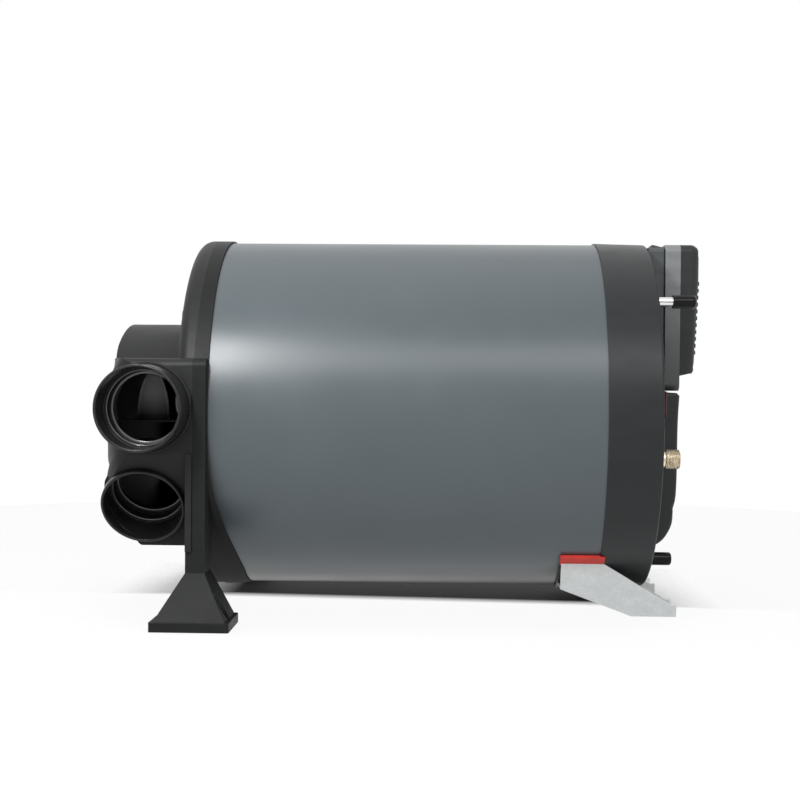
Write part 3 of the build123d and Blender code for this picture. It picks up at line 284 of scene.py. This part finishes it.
def moulded(
    name, colour, roughness, grain, depth, edge=0.5 * MM, wear_and_highlight=3.0, specular=0.3,
    dark=0.1, reach=90 * MM, gloom=(0.08, 0.62), foot=None,
):
    """Moulded plastic: grain, faint flow marks, edges paler partly by painted highlight, painted
    shade inside.

    wear scales the colour on rubbed edges, which is partly real rubbing and partly painted
    highlight, and dark scales it where walls closer than reach shut out the light, over the span
    gloom: painted shade. foot is a height where the colour is scaled by its third number, and
    the height from which it is whole: painted light and shade by height.
    """
    skin = Finish(name, colour, roughness)
    rubbed = skin.edges(edge)
    flow = skin.noise(25 * MM, 3, (1, 1, 0.35))
    pits = skin.noise(grain, 2, rough=0.6)
    tone = skin.blend(skin.spread(flow, 0, 1), shade(colour, 0.85), shade(colour, 1.15))
    tone = skin.blend(skin.spread(pits, 0, 0.5, 0.55, 0.8), tone, shade(colour, 1.8))
    wear_highlight_mask = skin.math("MULTIPLY", rubbed, skin.spread(skin.noise(4 * MM, 3), 0.25, 1))
    # Painted shade where walls closer than reach shut out the light
    lit = skin.shelter(reach, 0, *gloom)
    tone = skin.blend(lit, shade(colour, dark), tone)
    # Paler rubbed edges: partly real rubbing, partly painted highlight
    tone = skin.blend(wear_highlight_mask, tone, shade(colour, wear_and_highlight))
    # Painted light and shade by height
    if foot is not None:
        tone = skin.blend(skin.height(*foot[:2]), shade(colour, foot[2]), tone)
    matt = skin.math("ADD", skin.spread(flow, roughness - 0.04, roughness + 0.04),
                     skin.math("MULTIPLY", wear_highlight_mask, -0.05))
    matt = skin.math("MAXIMUM", matt, skin.spread(lit, 0.8, roughness - 0.1, 0, 0.9))
    skin.bump(pits, depth)
    return skin.done(tone, matt, specular=specular)


def galvanised():
    """Zinc-coated sheet: soft mottle of overlapping crystals, fine scratches, bright edges that are
    partly rubbed and partly painted highlight.
    """
    colour = (0.62, 0.64, 0.64)
    zinc = Finish("galvanised", colour, 0.5, 0.7)
    rubbed = zinc.edges(0.5 * MM)
    crystal = zinc.cells(3.2 * MM, output="Color", stretch=(1.6, 1, 1))
    facet = zinc.math("MULTIPLY", crystal, 1.0)  # the crystal's colour as one value
    fern = zinc.noise(1.1 * MM, 5, (2.5, 1, 1))
    cloud = zinc.noise(9 * MM, 4)
    tone = zinc.blend(zinc.spread(facet, 0, 1, 0.1, 0.9), shade(colour, 0.93), shade(colour, 1.05))
    tone = zinc.blend(zinc.spread(fern, 0, 0.55, 0.4, 0.75), tone, shade(colour, 0.72))
    tone = zinc.blend(zinc.spread(cloud, 0, 0.45), tone, shade(colour, 0.86))
    # Paler edges: partly rubbed, partly painted highlight
    tone = zinc.blend(rubbed, tone, shade(colour, 1.5))
    zinc.bump(fern, 0.02 * MM)
    return zinc.done(tone, zinc.spread(facet, 0.44, 0.54, 0.1, 0.9))


def silicone(name="red_silicone", red=(0.60, 0.040, 0.028), shade_top=None, shade_foot=None):
    """Red silicone: matt, dusty in its pores, black below shade_foot, and painted black above
    shade_top as painted shade in a seam.
    """
    rubber = Finish(name, red, 0.5)
    rubber.edges(0.5 * MM)
    pores = rubber.noise(0.8 * MM, 3)
    smear = rubber.noise(9 * MM, 3)
    tone = rubber.blend(rubber.spread(smear, 0, 1), shade(red, 0.85), shade(red, 1.1))
    tone = rubber.blend(rubber.spread(pores, 0, 0.2, 0.5, 0.8), tone, shade(red, 1.3))
    near_black = (0.010, 0.010, 0.011)
    # Above shade_top the colour is painted black: painted shade deep in a seam
    if shade_top is not None:
        tone = rubber.blend(rubber.height(shade_top - 3 * MM, shade_top), tone, near_black)
    if shade_foot is not None:
        tone = rubber.blend(rubber.height(shade_foot - 0.5 * MM, shade_foot), near_black, tone)
    rubber.bump(pores, 0.03 * MM)
    return rubber.done(tone, rubber.spread(smear, 0.45, 0.6), specular=0.35)


def cap_rubber():
    """Glossy black rubber of the pipe caps, with faint scuffs and pale edges that are partly
    painted highlight.
    """
    colour = (0.0035, 0.0036, 0.0038)
    rubber = Finish("black_rubber", colour, 0.12)
    rubbed = rubber.edges(0.5 * MM)
    scuff = rubber.noise(1.6 * MM, 4, (4, 1, 1))
    tone = rubber.blend(rubber.spread(scuff, 0, 1, 0.5, 0.75), colour, shade(colour, 2.4))
    # Edges twenty times lighter: partly rubbed, partly painted highlight
    tone = rubber.blend(rubbed, tone, shade(colour, 20))
    rubber.bump(scuff, 0.006 * MM)
    return rubber.done(tone, rubber.spread(scuff, 0.10, 0.24), specular=0.16)


def metal(name, colour, low, high, streak):
    """Metal with fine lines along streak and a faint mottle."""
    bare = Finish(name, colour, low, 1.0)
    rubbed = bare.edges(0.3 * MM)
    lines = bare.noise(0.5 * MM, 3, streak)
    patch = bare.noise(12 * MM, 3)
    tone = bare.blend(bare.spread(patch, 0, 1), shade(colour, 0.9), colour)
    tone = bare.blend(bare.math("MULTIPLY", rubbed, 0.5), tone, shade(colour, 1.25))
    bare.bump(lines, 0.006 * MM)
    return bare.done(tone, bare.spread(lines, low, high))


def drawn_pipe():
    """Polished drawn pipe with dark lines along it, partly drawing marks and partly painted
    reflection.
    """
    colour = (0.80, 0.80, 0.81)
    bare = Finish("bright_pipe", colour, 0.12, 1.0)
    rubbed = bare.edges(0.3 * MM)
    lines = bare.noise(1.5 * MM, 2, (60, 1, 1))
    # Dark lines along the pipe: partly drawing marks, partly painted reflection
    tone = bare.blend(bare.spread(lines, 0, 1, 0.46, 0.62), colour, (0.10, 0.095, 0.09))
    tone = bare.blend(rubbed, tone, shade(colour, 1.1))
    bare.bump(lines, 0.03 * MM)
    return bare.done(tone, bare.spread(lines, 0.08, 0.2))


def brass():
    """Pale machined brass with faint turning lines, tarnish, and painted shade in the thread's
    grooves.
    """
    colour = (0.88, 0.78, 0.60)
    bare = Finish("brass", colour, 0.3, 1.0)
    rubbed = bare.edges(0.3 * MM)
    turning = bare.noise(0.35 * MM, 2, (1, 40, 40))
    tarnish = bare.noise(5 * MM, 4)
    tone = bare.blend(bare.spread(tarnish, 0, 1, 0.4, 0.75), colour, (0.50, 0.37, 0.22))
    tone = bare.blend(rubbed, tone, (0.92, 0.86, 0.74))
    # Painted shade: dark brown deep in the thread's grooves
    tone = bare.blend(bare.shelter(4 * MM, 0, 0.05, 0.45), (0.30, 0.21, 0.11), tone)
    bare.bump(turning, 0.01 * MM)
    return bare.done(tone, bare.spread(tarnish, 0.26, 0.42))


def foam():
    """Open grey foam."""
    colour = (0.2, 0.2, 0.21)
    soft = Finish("foam", colour, 0.95)
    holes = soft.cells(1.5 * MM)
    tone = soft.blend(soft.spread(holes, 0, 1, 0.2, 0.6), shade(colour, 0.5), colour)
    soft.bump(holes, 0.4 * MM)
    return soft.done(tone, soft.spread(holes, 0.9, 1.0))


def cast():
    """Sand-cast aluminium."""
    colour = (0.66, 0.67, 0.68)
    bare = Finish("cast_aluminium", colour, 0.5, 1.0)
    bare.edges(0.6 * MM)
    grit = bare.noise(0.9 * MM, 4)
    patch = bare.noise(15 * MM, 3)
    tone = bare.blend(bare.spread(patch, 0, 1), shade(colour, 0.8), colour)
    bare.bump(grit, 0.08 * MM)
    return bare.done(tone, bare.spread(patch, 0.42, 0.6))


def ceramic():
    """Glazed cream ceramic."""
    colour = (0.78, 0.75, 0.68)
    glaze = Finish("ceramic", colour, 0.25)
    specks = glaze.noise(0.6 * MM, 2)
    glaze.edges(0.3 * MM)
    tone = glaze.blend(glaze.spread(specks, 0, 0.5, 0.6, 0.8), colour, (0.4, 0.35, 0.28))
    glaze.bump(glaze.noise(3 * MM), 0.02 * MM)
    return glaze.done(tone, glaze.spread(specks, 0.2, 0.32))


def board_green():
    """Circuit board: solder mask over copper lines."""
    colour = (0.018, 0.13, 0.055)
    mask = Finish("board_green", colour, 0.35)
    mask.edges(0.2 * MM)
    lines = mask.cells(3.5 * MM, "DISTANCE_TO_EDGE", "Distance", (1, 1, 2))
    track = mask.spread(lines, 1, 0, 0.04, 0.08)
    tone = mask.blend(track, colour, (0.045, 0.24, 0.10))
    mask.bump(track, 0.03 * MM)
    return mask.done(tone, mask.spread(mask.noise(6 * MM), 0.28, 0.42))


# The finish of each material slot; moulded takes colour, roughness, size and depth of the grain
MATERIALS = {
    "jacket_paint": jacket_paint(),
    "black_plastic": moulded(
        "black_plastic", (0.0155, 0.016, 0.016), 0.48, 0.9 * MM, 0.02 * MM,
        wear_and_highlight=5, specular=0.2, reach=300 * MM, gloom=(0.03, 0.26)),
    "outlet_plastic": moulded(
        "outlet_plastic", (0.012, 0.0123, 0.0123), 0.3, 1.4 * MM, 0.008 * MM,
        wear_and_highlight=18, specular=0.3, reach=60 * MM, gloom=(0.05, 0.7)),
    "ring_plastic": moulded(
        "ring_plastic", (0.0080, 0.0100, 0.0110), 0.40, 0.5 * MM, 0.03 * MM,
        wear_and_highlight=14, specular=0.36, dark=0.6),
    "box_plastic": moulded(
        "box_plastic", (0.021, 0.0235, 0.024), 0.44, 0.6 * MM, 0.05 * MM,
        edge=0.8 * MM, wear_and_highlight=6, dark=0.5),
    "board_green": board_green(),
    "galvanised": galvanised(),
    "stainless": metal("stainless", (0.60, 0.60, 0.60), 0.22, 0.36, (30, 1, 1)),
    "steel": metal("steel", (0.48, 0.49, 0.50), 0.3, 0.45, (1, 1, 12)),
    "cast_aluminium": cast(),
    "foam": foam(),
    "red_silicone": silicone(),
    "black_rubber": cap_rubber(),
    "bright_pipe": drawn_pipe(),
    "brass": brass(),
    "ceramic": ceramic(),
}

# Variants of a slot's finish for single nodes
# Frame plastic: paler than the box's plastic and paler still towards its top, as painted reflection
FRAME_PLASTIC_PAINTED_SHEEN = moulded(
    "frame_plastic_painted_sheen", (0.20, 0.21, 0.213), 0.38, 0.5 * MM, 0.07 * MM,
    edge=1.0 * MM, wear_and_highlight=3.0, specular=0.5, dark=0.3, reach=12 * MM, foot=(190 * MM, 275 * MM, 0.30))
BASE_PLASTIC = moulded(
    "base_plastic", (0.075, 0.082, 0.084), 0.5, 0.6 * MM, 0.04 * MM, dark=0.25, reach=20 * MM)
# Guide plastic, painted nearly black towards the foot of the tongue: painted shade
GUIDE_PLASTIC_PAINTED_SHADE = moulded(
    "guide_plastic_painted_shade", (0.62, 0.625, 0.625), 0.4, 1.4 * MM, 0.006 * MM,
    wear_and_highlight=4, specular=0.5, dark=0.8, foot=(156 * MM, 174 * MM, 0.02))
BEAD_PLASTIC = moulded(
    "bead_plastic", (0.04, 0.041, 0.041), 0.16, 1.4 * MM, 0.003 * MM,
    specular=1.0, dark=0.8, reach=8 * MM)
# Gasket silicone, painted black above 184 mm where it lies deep in the seam: painted shade
SEAM_SILICONE_PAINTED_SHADE = silicone("seam_silicone_painted_shade", (0.15, 0.050, 0.052), shade_top=184 * MM)
PAD_SILICONE = silicone("pad_silicone", shade_foot=42.2 * MM)
CAP_PLASTIC = moulded(
    "cap_plastic", (0.0115, 0.012, 0.012), 0.5, 0.9 * MM, 0.02 * MM,
    wear_and_highlight=6, specular=0.15, reach=300 * MM, gloom=(0.03, 0.3))


def paint(piece, material):
    """Gives a piece one material."""
    piece.data.materials.clear()
    piece.data.materials.append(material)


SLOTS = {part["node"]: part["material_slot"] for part in frame["record"]["subparts"]}
BODIES = {
    node: body for body, held in frame["record"]["behaviour"]["bodies"].items() for node in held
}
SINGLE = {
    "front_cap": CAP_PLASTIC,
    "control_box_frame": FRAME_PLASTIC_PAINTED_SHEEN,
    "control_box_base": BASE_PLASTIC,
    "control_box_gasket": SEAM_SILICONE_PAINTED_SHADE,
    "rear_pad_right": PAD_SILICONE,
    "rear_pad_left": PAD_SILICONE,
}
FINISHES = {node: SINGLE.get(node, MATERIALS[slot]) for node, slot in SLOTS.items()}
for node, material in FINISHES.items():
    paint(nodes[node], material)


# Pieces that stand for plain nodes or go with them
def smooth_step(value, low, high):
    """0 below low, 1 above high, and a soft ramp between them."""
    part = min(1.0, max(0.0, (value - low) / (high - low)))
    return part * part * (3 - 2 * part)


def set_shading(mesh):
    """Smooth faces that meet in crisp edges."""
    for face in mesh.faces:
        face.smooth = True
    for edge in mesh.edges:
        edge.smooth = edge.calc_face_angle(0) < SHARP


def build(name, mesh, node, material=None, stands=True):
    """A finished piece that stands for a node, or only goes with it; the bmesh is used up."""
    bmesh.ops.recalc_face_normals(mesh, faces=mesh.faces)
    set_shading(mesh)
    data = bpy.data.meshes.new(name)
    mesh.to_mesh(data)
    mesh.free()
    for layer in ("custom_normal", "sharp_face"):
        if layer in data.attributes:
            data.attributes.remove(data.attributes[layer])
    piece = bpy.data.objects.new(name, data)
    bpy.context.scene.collection.objects.link(piece)
    paint(piece, material or FINISHES[node])
    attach(piece, BODIES[node])
    if stands:
        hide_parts(node)
    return piece


def node_mesh(node):
    """A copy of a node's mesh, with its split edges joined."""
    mesh = bmesh.new()
    mesh.from_mesh(nodes[node].data)
    bmesh.ops.remove_doubles(mesh, verts=mesh.verts, dist=1e-6)
    return mesh


def slice_faces(mesh, axis, places, wanted):
    """Cuts the wanted faces at places along an axis, so that they can bend."""
    normal = Vector([float(k == axis) for k in range(3)])
    for place in places:
        faces = [face for face in mesh.faces if wanted(face)]
        held = dict.fromkeys(item for face in faces for item in (face, *face.edges, *face.verts))
        bmesh.ops.bisect_plane(
            mesh, geom=list(held), plane_co=normal * place, plane_no=normal, dist=1e-6)


def round_distributor():
    """The air distributor with its front corners drawn in round the outlets."""
    mesh = node_mesh("air_distributor")

    def forward(face):
        """Whether a face reaches ahead of the part that stays as it is."""
        return min(vert.co.x for vert in face.verts) < JACKET_FRONT - 42 * MM

    slice_faces(mesh, 2, [k * 6 * MM for k in range(10, 39)], forward)
    for hand in (-1, 1):
        slice_faces(mesh, 1, [hand * k * 8 * MM for k in range(7, 17)], forward)
    slice_faces(mesh, 0, [JACKET_FRONT - k * 5 * MM for k in range(9, 17)], forward)
    for vert in mesh.verts:
        x = (vert.co.x - JACKET_FRONT) / MM
        side, rise = abs(vert.co.y) / MM, vert.co.z / MM
        ahead = min(1.0, max(0.0, (-45 - x) / 39))
        if ahead == 0:
            continue
        # How far the front comes in, in mm, from its top down to its foot
        draw = 2.2 * (1 - smooth_step(rise, 200, 230))
        draw += 6.8 * smooth_step(rise, 168, 198) * (1 - smooth_step(rise, 200, 226))
        draw += 3.5 * (1 - smooth_step(rise, 108, 125)) + 17 * (1 - smooth_step(rise, 56, 94))
        # Nothing moves close to the axes of the two outlets; the lower one is seen at a slant
        upper = ((x + 43) ** 2 + (rise - 163.3) ** 2) ** 0.5
        lower = (((x + 50) / 0.86) ** 2 + (rise - 97) ** 2) ** 0.5
        clear = min(smooth_step(upper, 35, 52), smooth_step(lower, 35, 43))
        vert.co.x += draw * ahead * smooth_step(side, 60, 130) * clear * MM
    return build("distributor_shell", mesh, "air_distributor")


def arch_guide(hand):
    """Air guide: a domed tongue with a raised rim, standing on its shelf."""
    node = "air_guide_right" if hand < 0 else "air_guide_left"
    low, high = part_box(node)
    reach, base = 100.5 * MM * hand, 153 * MM
    middle = JACKET_FRONT - 48 * MM
    half_width, tall, thick = 12.6 * MM, 38 * MM, 1.8 * MM
    inset, shelf, wall = 0.3 * MM, 1.6 * MM, 2.4 * MM
    mesh = bmesh.new()

    def block(start, end, bevel):
        """A box between two corners, with its edges rounded."""
        made = bmesh.ops.create_cube(mesh, size=1)["verts"]
        for vert in made:
            for k in range(3):
                vert.co[k] = start[k] if vert.co[k] < 0 else end[k]
        edges = list(dict.fromkeys(edge for vert in made for edge in vert.link_edges))
        bmesh.ops.bevel(mesh, geom=edges, offset=bevel, segments=2, affect="EDGES")

    corner = (high.x, high.y - inset, base)
    block((low.x + inset, low.y + inset, base - shelf), corner, 0.3 * MM)
    block((high.x - wall, low.y + inset, low.z + inset), corner, 0.3 * MM)
    across, up = 28, 20
    sides = []
    for outward in (1, 0):
        rows = []
        for j in range(up + 1):
            t = j / up
            half = half_width * (1 - t * t) ** 0.5
            row = []
            for i in range(across + 1):
                q = 2 * i / across - 1
                dome = 4.5 * MM * (1 - q * q) * (1 - t * t) ** 0.5
                rim = 1.2 * MM * smooth_step(abs(q), 0.86, 0.96)
                y = reach + hand * ((dome + rim) if outward else dome - thick)
                row.append(mesh.verts.new((middle + q * half, y, base - 0.5 * MM + t * tall)))
            rows.append(row)
        sides.append(rows)
    for rows in sides:
        for j in range(up):
            for i in range(across):
                mesh.faces.new((rows[j][i], rows[j][i + 1], rows[j + 1][i + 1], rows[j + 1][i]))
    front, back = sides
    for j in range(up):
        for i in (0, across):
            mesh.faces.new((front[j][i], front[j + 1][i], back[j + 1][i], back[j][i]))
    for i in range(across):
        mesh.faces.new((front[0][i], front[0][i + 1], back[0][i + 1], back[0][i]))
    bmesh.ops.remove_doubles(mesh, verts=mesh.verts, dist=1e-6)
    bmesh.ops.dissolve_degenerate(mesh, edges=mesh.edges, dist=1e-6)
    return build(f"guide_{'right' if hand < 0 else 'left'}", mesh, node, GUIDE_PLASTIC_PAINTED_SHADE)


def stop_beads(hand, upper):
    """Glossy beads on the inner edges of an outlet's two stop rings."""
    side, level = "right" if hand < 0 else "left", "upper" if upper else "lower"
    front, reach, rise, dip = UPPER_MOUTH if upper else LOWER_MOUTH
    mouth = Vector((JACKET_FRONT - front * MM, hand * reach * MM, rise * MM))
    inward = Vector((0, -hand * cos(dip), sin(dip)))
    ahead, up = Vector((1, 0, 0)), inward.cross(Vector((1, 0, 0)))
    around, section = 72, 10
    thick = 0.9 * MM
    beads = ((24.6 * MM, 27.9 * MM, 0.9 * MM), (35.6 * MM, 26.8 * MM, 1.8 * MM))
    mesh = bmesh.new()
    for depth, size, wide in beads:
        rings = []
        for k in range(around):
            out = ahead * cos(2 * pi * k / around) + up * sin(2 * pi * k / around)
            centre = mouth + inward * depth + out * size
            rings.append([
                mesh.verts.new(centre + out * cos(turn) * wide + inward * sin(turn) * thick)
                for turn in (2 * pi * j / section for j in range(section))
            ])
        for k in range(around):
            first, second = rings[k], rings[(k + 1) % around]
            for j in range(section):
                after = (j + 1) % section
                mesh.faces.new((first[j], first[after], second[after], second[j]))
    node = f"outlet_{level}_{side}"
    return build(f"stop_beads_{level}_{side}", mesh, node, BEAD_PLASTIC, stands=False)


def cap_saddle_and_shade(hand):
    """Gusset of the front cap that hugs the underside of the drum, widest at its foot; a dark sheet
    that also stands in for shade on the drum there: partly painted shade.
    """
    around, along = 36, 6
    inner, outer = 141.8 * MM, 143.6 * MM
    start, sweep, reach = -17, 63, 19 * MM
    overlap, thinning = 2 * MM, 1.2 * MM
    mesh = bmesh.new()
    layers = []
    for layer in (inner, outer):
        rows = []
        for j in range(around + 1):
            angle = radians(start - sweep * j / around)
            width = reach * smooth_step(j / around, -0.1, 0.75)
            row = []
            for i in range(along + 1):
                q = i / along
                size = layer if layer == inner else outer - thinning * smooth_step(q, 0.5, 1)
                x = JACKET_FRONT - overlap + (overlap + width) * q
                y, z = hand * size * cos(angle), AXIS_HEIGHT + size * sin(angle)
                row.append(mesh.verts.new((x, y, z)))
            rows.append(row)
        layers.append(rows)
    for rows in layers:
        for j in range(around):
            for i in range(along):
                mesh.faces.new((rows[j][i], rows[j][i + 1], rows[j + 1][i + 1], rows[j + 1][i]))
    low, high = layers
    for j in range(around):
        for i in (0, along):
            mesh.faces.new((low[j][i], low[j + 1][i], high[j + 1][i], high[j][i]))
    for i in range(along):
        for j in (0, around):
            mesh.faces.new((low[j][i], low[j][i + 1], high[j][i + 1], high[j][i]))
    side = "right" if hand < 0 else "left"
    return build(f"cap_saddle_and_shade_{side}", mesh, "front_cap", stands=False)


def filled_cover():
    """Blower cover with its side drawn out to one even curve."""
    mesh = node_mesh("blower_cover")
    low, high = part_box("blower_cover")
    slice_faces(mesh, 2, [k * 5 * MM for k in range(11, 36)], lambda face: True)
    for vert in mesh.verts:
        rise = vert.co.z / MM
        out = min(1.0, max(0.0, (vert.co.x - low.x) / (10 * MM)))
        push = 2.6 * smooth_step(rise, 78, 94) * (1 - smooth_step(rise, 95, 165))
        push -= 0.6 * smooth_step(rise, 58, 66) * (1 - smooth_step(rise, 74, 86))
        vert.co.x = min(vert.co.x + push * out * MM, high.x)
    return build("cover_shell", mesh, "blower_cover")


def threaded_inlet():
    """Brass gas inlet: plain collar, then a fine thread with a bore."""
    low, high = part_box("gas_inlet")
    y, z = (low.y + high.y) / 2, (low.z + high.z) / 2
    radius, pitch, depth = (high.y - low.y) / 2, 1.1 * MM, 0.4 * MM
    collar_end = low.x + 9.2 * MM
    thread_start = collar_end + 0.1 * MM
    thread_length = high.x - 0.6 * MM - thread_start
    around, steps = 72, 56
    # Places along X, each with its radius in mm, or None on the thread
    profile = [(low.x, 6.2), (collar_end - 0.5 * MM, 6.2), (collar_end, 5.8)]
    profile += [(thread_start + thread_length * k / steps, None) for k in range(steps + 1)]
    profile += [(high.x - 0.2 * MM, 6.6), (high.x, 6.1), (high.x, 4.3)]
    profile += [(high.x - 0.3 * MM, 4.0), (low.x, 4.0)]
    mesh = bmesh.new()
    rings = []
    for x, plain in profile:
        ring = []
        for i in range(around):
            angle = 2 * pi * i / around
            if plain is None:
                phase = ((x - collar_end) / pitch - i / around) % 1
                size = radius - depth * min(1, max(0, 2 * abs(phase - 0.5) * 1.4 - 0.2))
            else:
                size = plain * MM
            ring.append(mesh.verts.new((x, y + size * cos(angle), z + size * sin(angle))))
        rings.append(ring)
    for k, first in enumerate(rings):
        second = rings[(k + 1) % len(rings)]
        for i in range(around):
            j = (i + 1) % around
            mesh.faces.new((first[i], first[j], second[j], second[i]))
    return build("threaded_inlet", mesh, "gas_inlet")


def folded_bracket(hand):
    """Rear foot with a higher lip and rolled edges."""
    side = "right" if hand < 0 else "left"
    mesh = node_mesh(f"rear_foot_{side}")
    for vert in mesh.verts:
        if vert.co.z > 36 * MM:
            vert.co.z += 2.3 * MM
    piece = build(f"bracket_{side}", mesh, f"rear_foot_{side}")
    bevel = piece.modifiers.new("rolled_edges", "BEVEL")
    bevel.width = 0.35 * MM
    bevel.segments = 2
    bevel.limit_method = "ANGLE"
    bevel.angle_limit = radians(40)
    return piece


def lipped_pad(hand):
    """Saddle pad whose front edge clears the bracket's lip."""
    side = "right" if hand < 0 else "left"
    mesh = node_mesh(f"rear_pad_{side}")
    for vert in mesh.verts:
        if abs(vert.co.y) > 85.5 * MM and vert.co.z < 44 * MM:
            vert.co.z += 2.4 * MM
    return build(f"saddle_pad_{side}", mesh, f"rear_pad_{side}")


def screw_islands(node):
    """Each screw of a node, as its lowest and highest corners."""
    mesh = node_mesh(node)
    left = set(mesh.verts)
    found = []
    while left:
        stack = [left.pop()]
        spots = []
        while stack:
            vert = stack.pop()
            spots.append(vert.co.copy())
            for edge in vert.link_edges:
                other = edge.other_vert(vert)
                if other in left:
                    left.remove(other)
                    stack.append(other)
        found.append([
            Vector([pick(spot[k] for spot in spots) for k in range(3)]) for pick in (min, max)
        ])
    mesh.free()
    return sorted(found, key=lambda pair: tuple(pair[0]))


def add_screw(mesh, low, high, way):
    """A pan head screw along X with a cross recess, its head at the end that way points to."""
    y, z = (low.y + high.y) / 2, (low.z + high.z) / 2
    head = (high.y - low.y) / 2
    tip, end = (low.x, high.x) if way > 0 else (high.x, low.x)
    height, shank, recess = 2.2 * MM, 1.6 * MM, 1.1 * MM
    sides = 24

    def ring(x, size):
        """A circle of corners at x."""
        turns = [2 * pi * k / sides for k in range(sides)]
        return [mesh.verts.new((x, y + size * cos(t), z + size * sin(t))) for t in turns]

    profile = [(tip, 0.5 * MM), (tip + way * 2 * MM, shank)]
    profile += [(end - way * height, shank), (end - way * height, head)]
    profile += [(end - way * 1.2 * MM, head), (end - way * 0.4 * MM, head * 0.86)]
    profile += [(end, head * 0.66)]
    rings = [ring(x, size) for x, size in profile]
    for first, second in zip(rings, rings[1:]):
        for k in range(sides):
            mesh.faces.new((first[k], first[(k + 1) % sides], second[(k + 1) % sides], second[k]))
    mesh.faces.new(rings[0])
    arm, width = head * 0.5, head * 0.13
    plan = [(arm, width), (width, width), (width, arm)]
    plan += [(-width, arm), (-width, width), (-arm, width)]
    plan += [(-a, -b) for a, b in plan]
    mouth, floor = (
        [mesh.verts.new((x, y + a * grow, z + b * grow)) for a, b in plan]
        for x, grow in ((end, 1), (end - way * recess, 0.8))
    )
    edges = []
    for loop in (rings[-1], mouth):
        for k in range(len(loop)):
            pair = (loop[k], loop[(k + 1) % len(loop)])
            edges.append(mesh.edges.get(pair) or mesh.edges.new(pair))
    bmesh.ops.triangle_fill(mesh, edges=edges, use_beauty=True)
    for k in range(len(plan)):
        other = (k + 1) % len(plan)
        mesh.faces.new((mouth[k], mouth[other], floor[other], floor[k]))
    mesh.faces.new(floor)


def cross_screws(node, way):
    """All of a node's screws with their recesses."""
    mesh = bmesh.new()
    for low, high in screw_islands(node):
        add_screw(mesh, low, high, way)
    return build(node.replace("screws", "fasteners"), mesh, node)


round_distributor()
for hand in (-1, 1):
    arch_guide(hand)
    folded_bracket(hand)
    lipped_pad(hand)
    cap_saddle_and_shade(hand)
    for upper in (True, False):
        stop_beads(hand, upper)
filled_cover()
threaded_inlet()
cross_screws("distributor_screws", -1)
cross_screws("rear_cover_screws", 1)
cross_screws("control_box_screws", 1)


# Stage
def floor_material():
    """Pale floor with painted shadow where the drum is close above it, that fades into white around
    it.
    """
    ground = Finish("floor", (0.93, 0.93, 0.93), 0.7)
    speck = ground.noise(3 * MM, 2)
    white = (1.0, 1.0, 1.0)
    tone = ground.blend(ground.spread(speck, 0, 1), shade(white, 0.925), shade(white, 0.935))
    # Painted shadow: nearly black where the drum is close above the floor
    tone = ground.blend(ground.shelter(110 * MM, 0, 0.50, 0.85), shade(white, 0.014), tone)
    surface = ground.done(tone, specular=0.2)
    axes = ground.node("SeparateXYZ")
    ground.link(ground.place, axes.inputs[0])
    side = ground.spread(ground.math("ABSOLUTE", axes.outputs["X"]), 0, 0.88, 0.15, 0.26)
    lean = ground.math("MULTIPLY", axes.outputs["X"], 0.08)
    slant = ground.math("ADD", axes.outputs["Y"], lean)
    front = ground.spread(slant, 0.95, 0, -0.009, 0.017)
    back = ground.spread(axes.outputs["Y"], 0, 0.88, 0.12, 0.22)
    fade = ground.math("MAXIMUM", side, ground.math("MAXIMUM", front, back))
    clear = ground.node("BsdfTransparent")
    mix = ground.node("MixShader")
    ground.link(fade, mix.inputs[0])
    ground.link(ground.shader.outputs[0], mix.inputs[1])
    ground.link(clear.outputs[0], mix.inputs[2])
    ground.link(mix.outputs[0], ground.out.inputs[0])
    return surface


def lay_floor(radius=1.0, sides=96):
    """A round floor under the heater."""
    mesh = bmesh.new()
    bmesh.ops.create_circle(mesh, cap_ends=True, radius=radius, segments=sides)
    data = bpy.data.meshes.new("floor")
    mesh.to_mesh(data)
    mesh.free()
    floor = bpy.data.objects.new("floor", data)
    bpy.context.scene.collection.objects.link(floor)
    data.materials.append(floor_material())
    floor.location.z = -0.2 * MM


lay_floor()
light_world(0.64)
# Each lamp: its place and its target, its width and height in metres and its power in watts
softbox("strip", (-0.271, -0.560, 0.535), (-0.169, -0.134, 0.202), 0.06, 0.24, 2.7)
softbox("key", (0.1, -1.3, 1.12), (0, 0, 0.2), 1.4, 0.45, 6)
softbox("right", (0.55, -1.3, 1.12), (0, 0, 0.2), 0.3, 0.35, 1.2)
softbox("top", (0.0, 0.1, 1.75), (0, 0, 0.2), 1.6, 1.25, 2.1)
place_camera()

bpy.context.scene.view_settings.view_transform = "Standard"
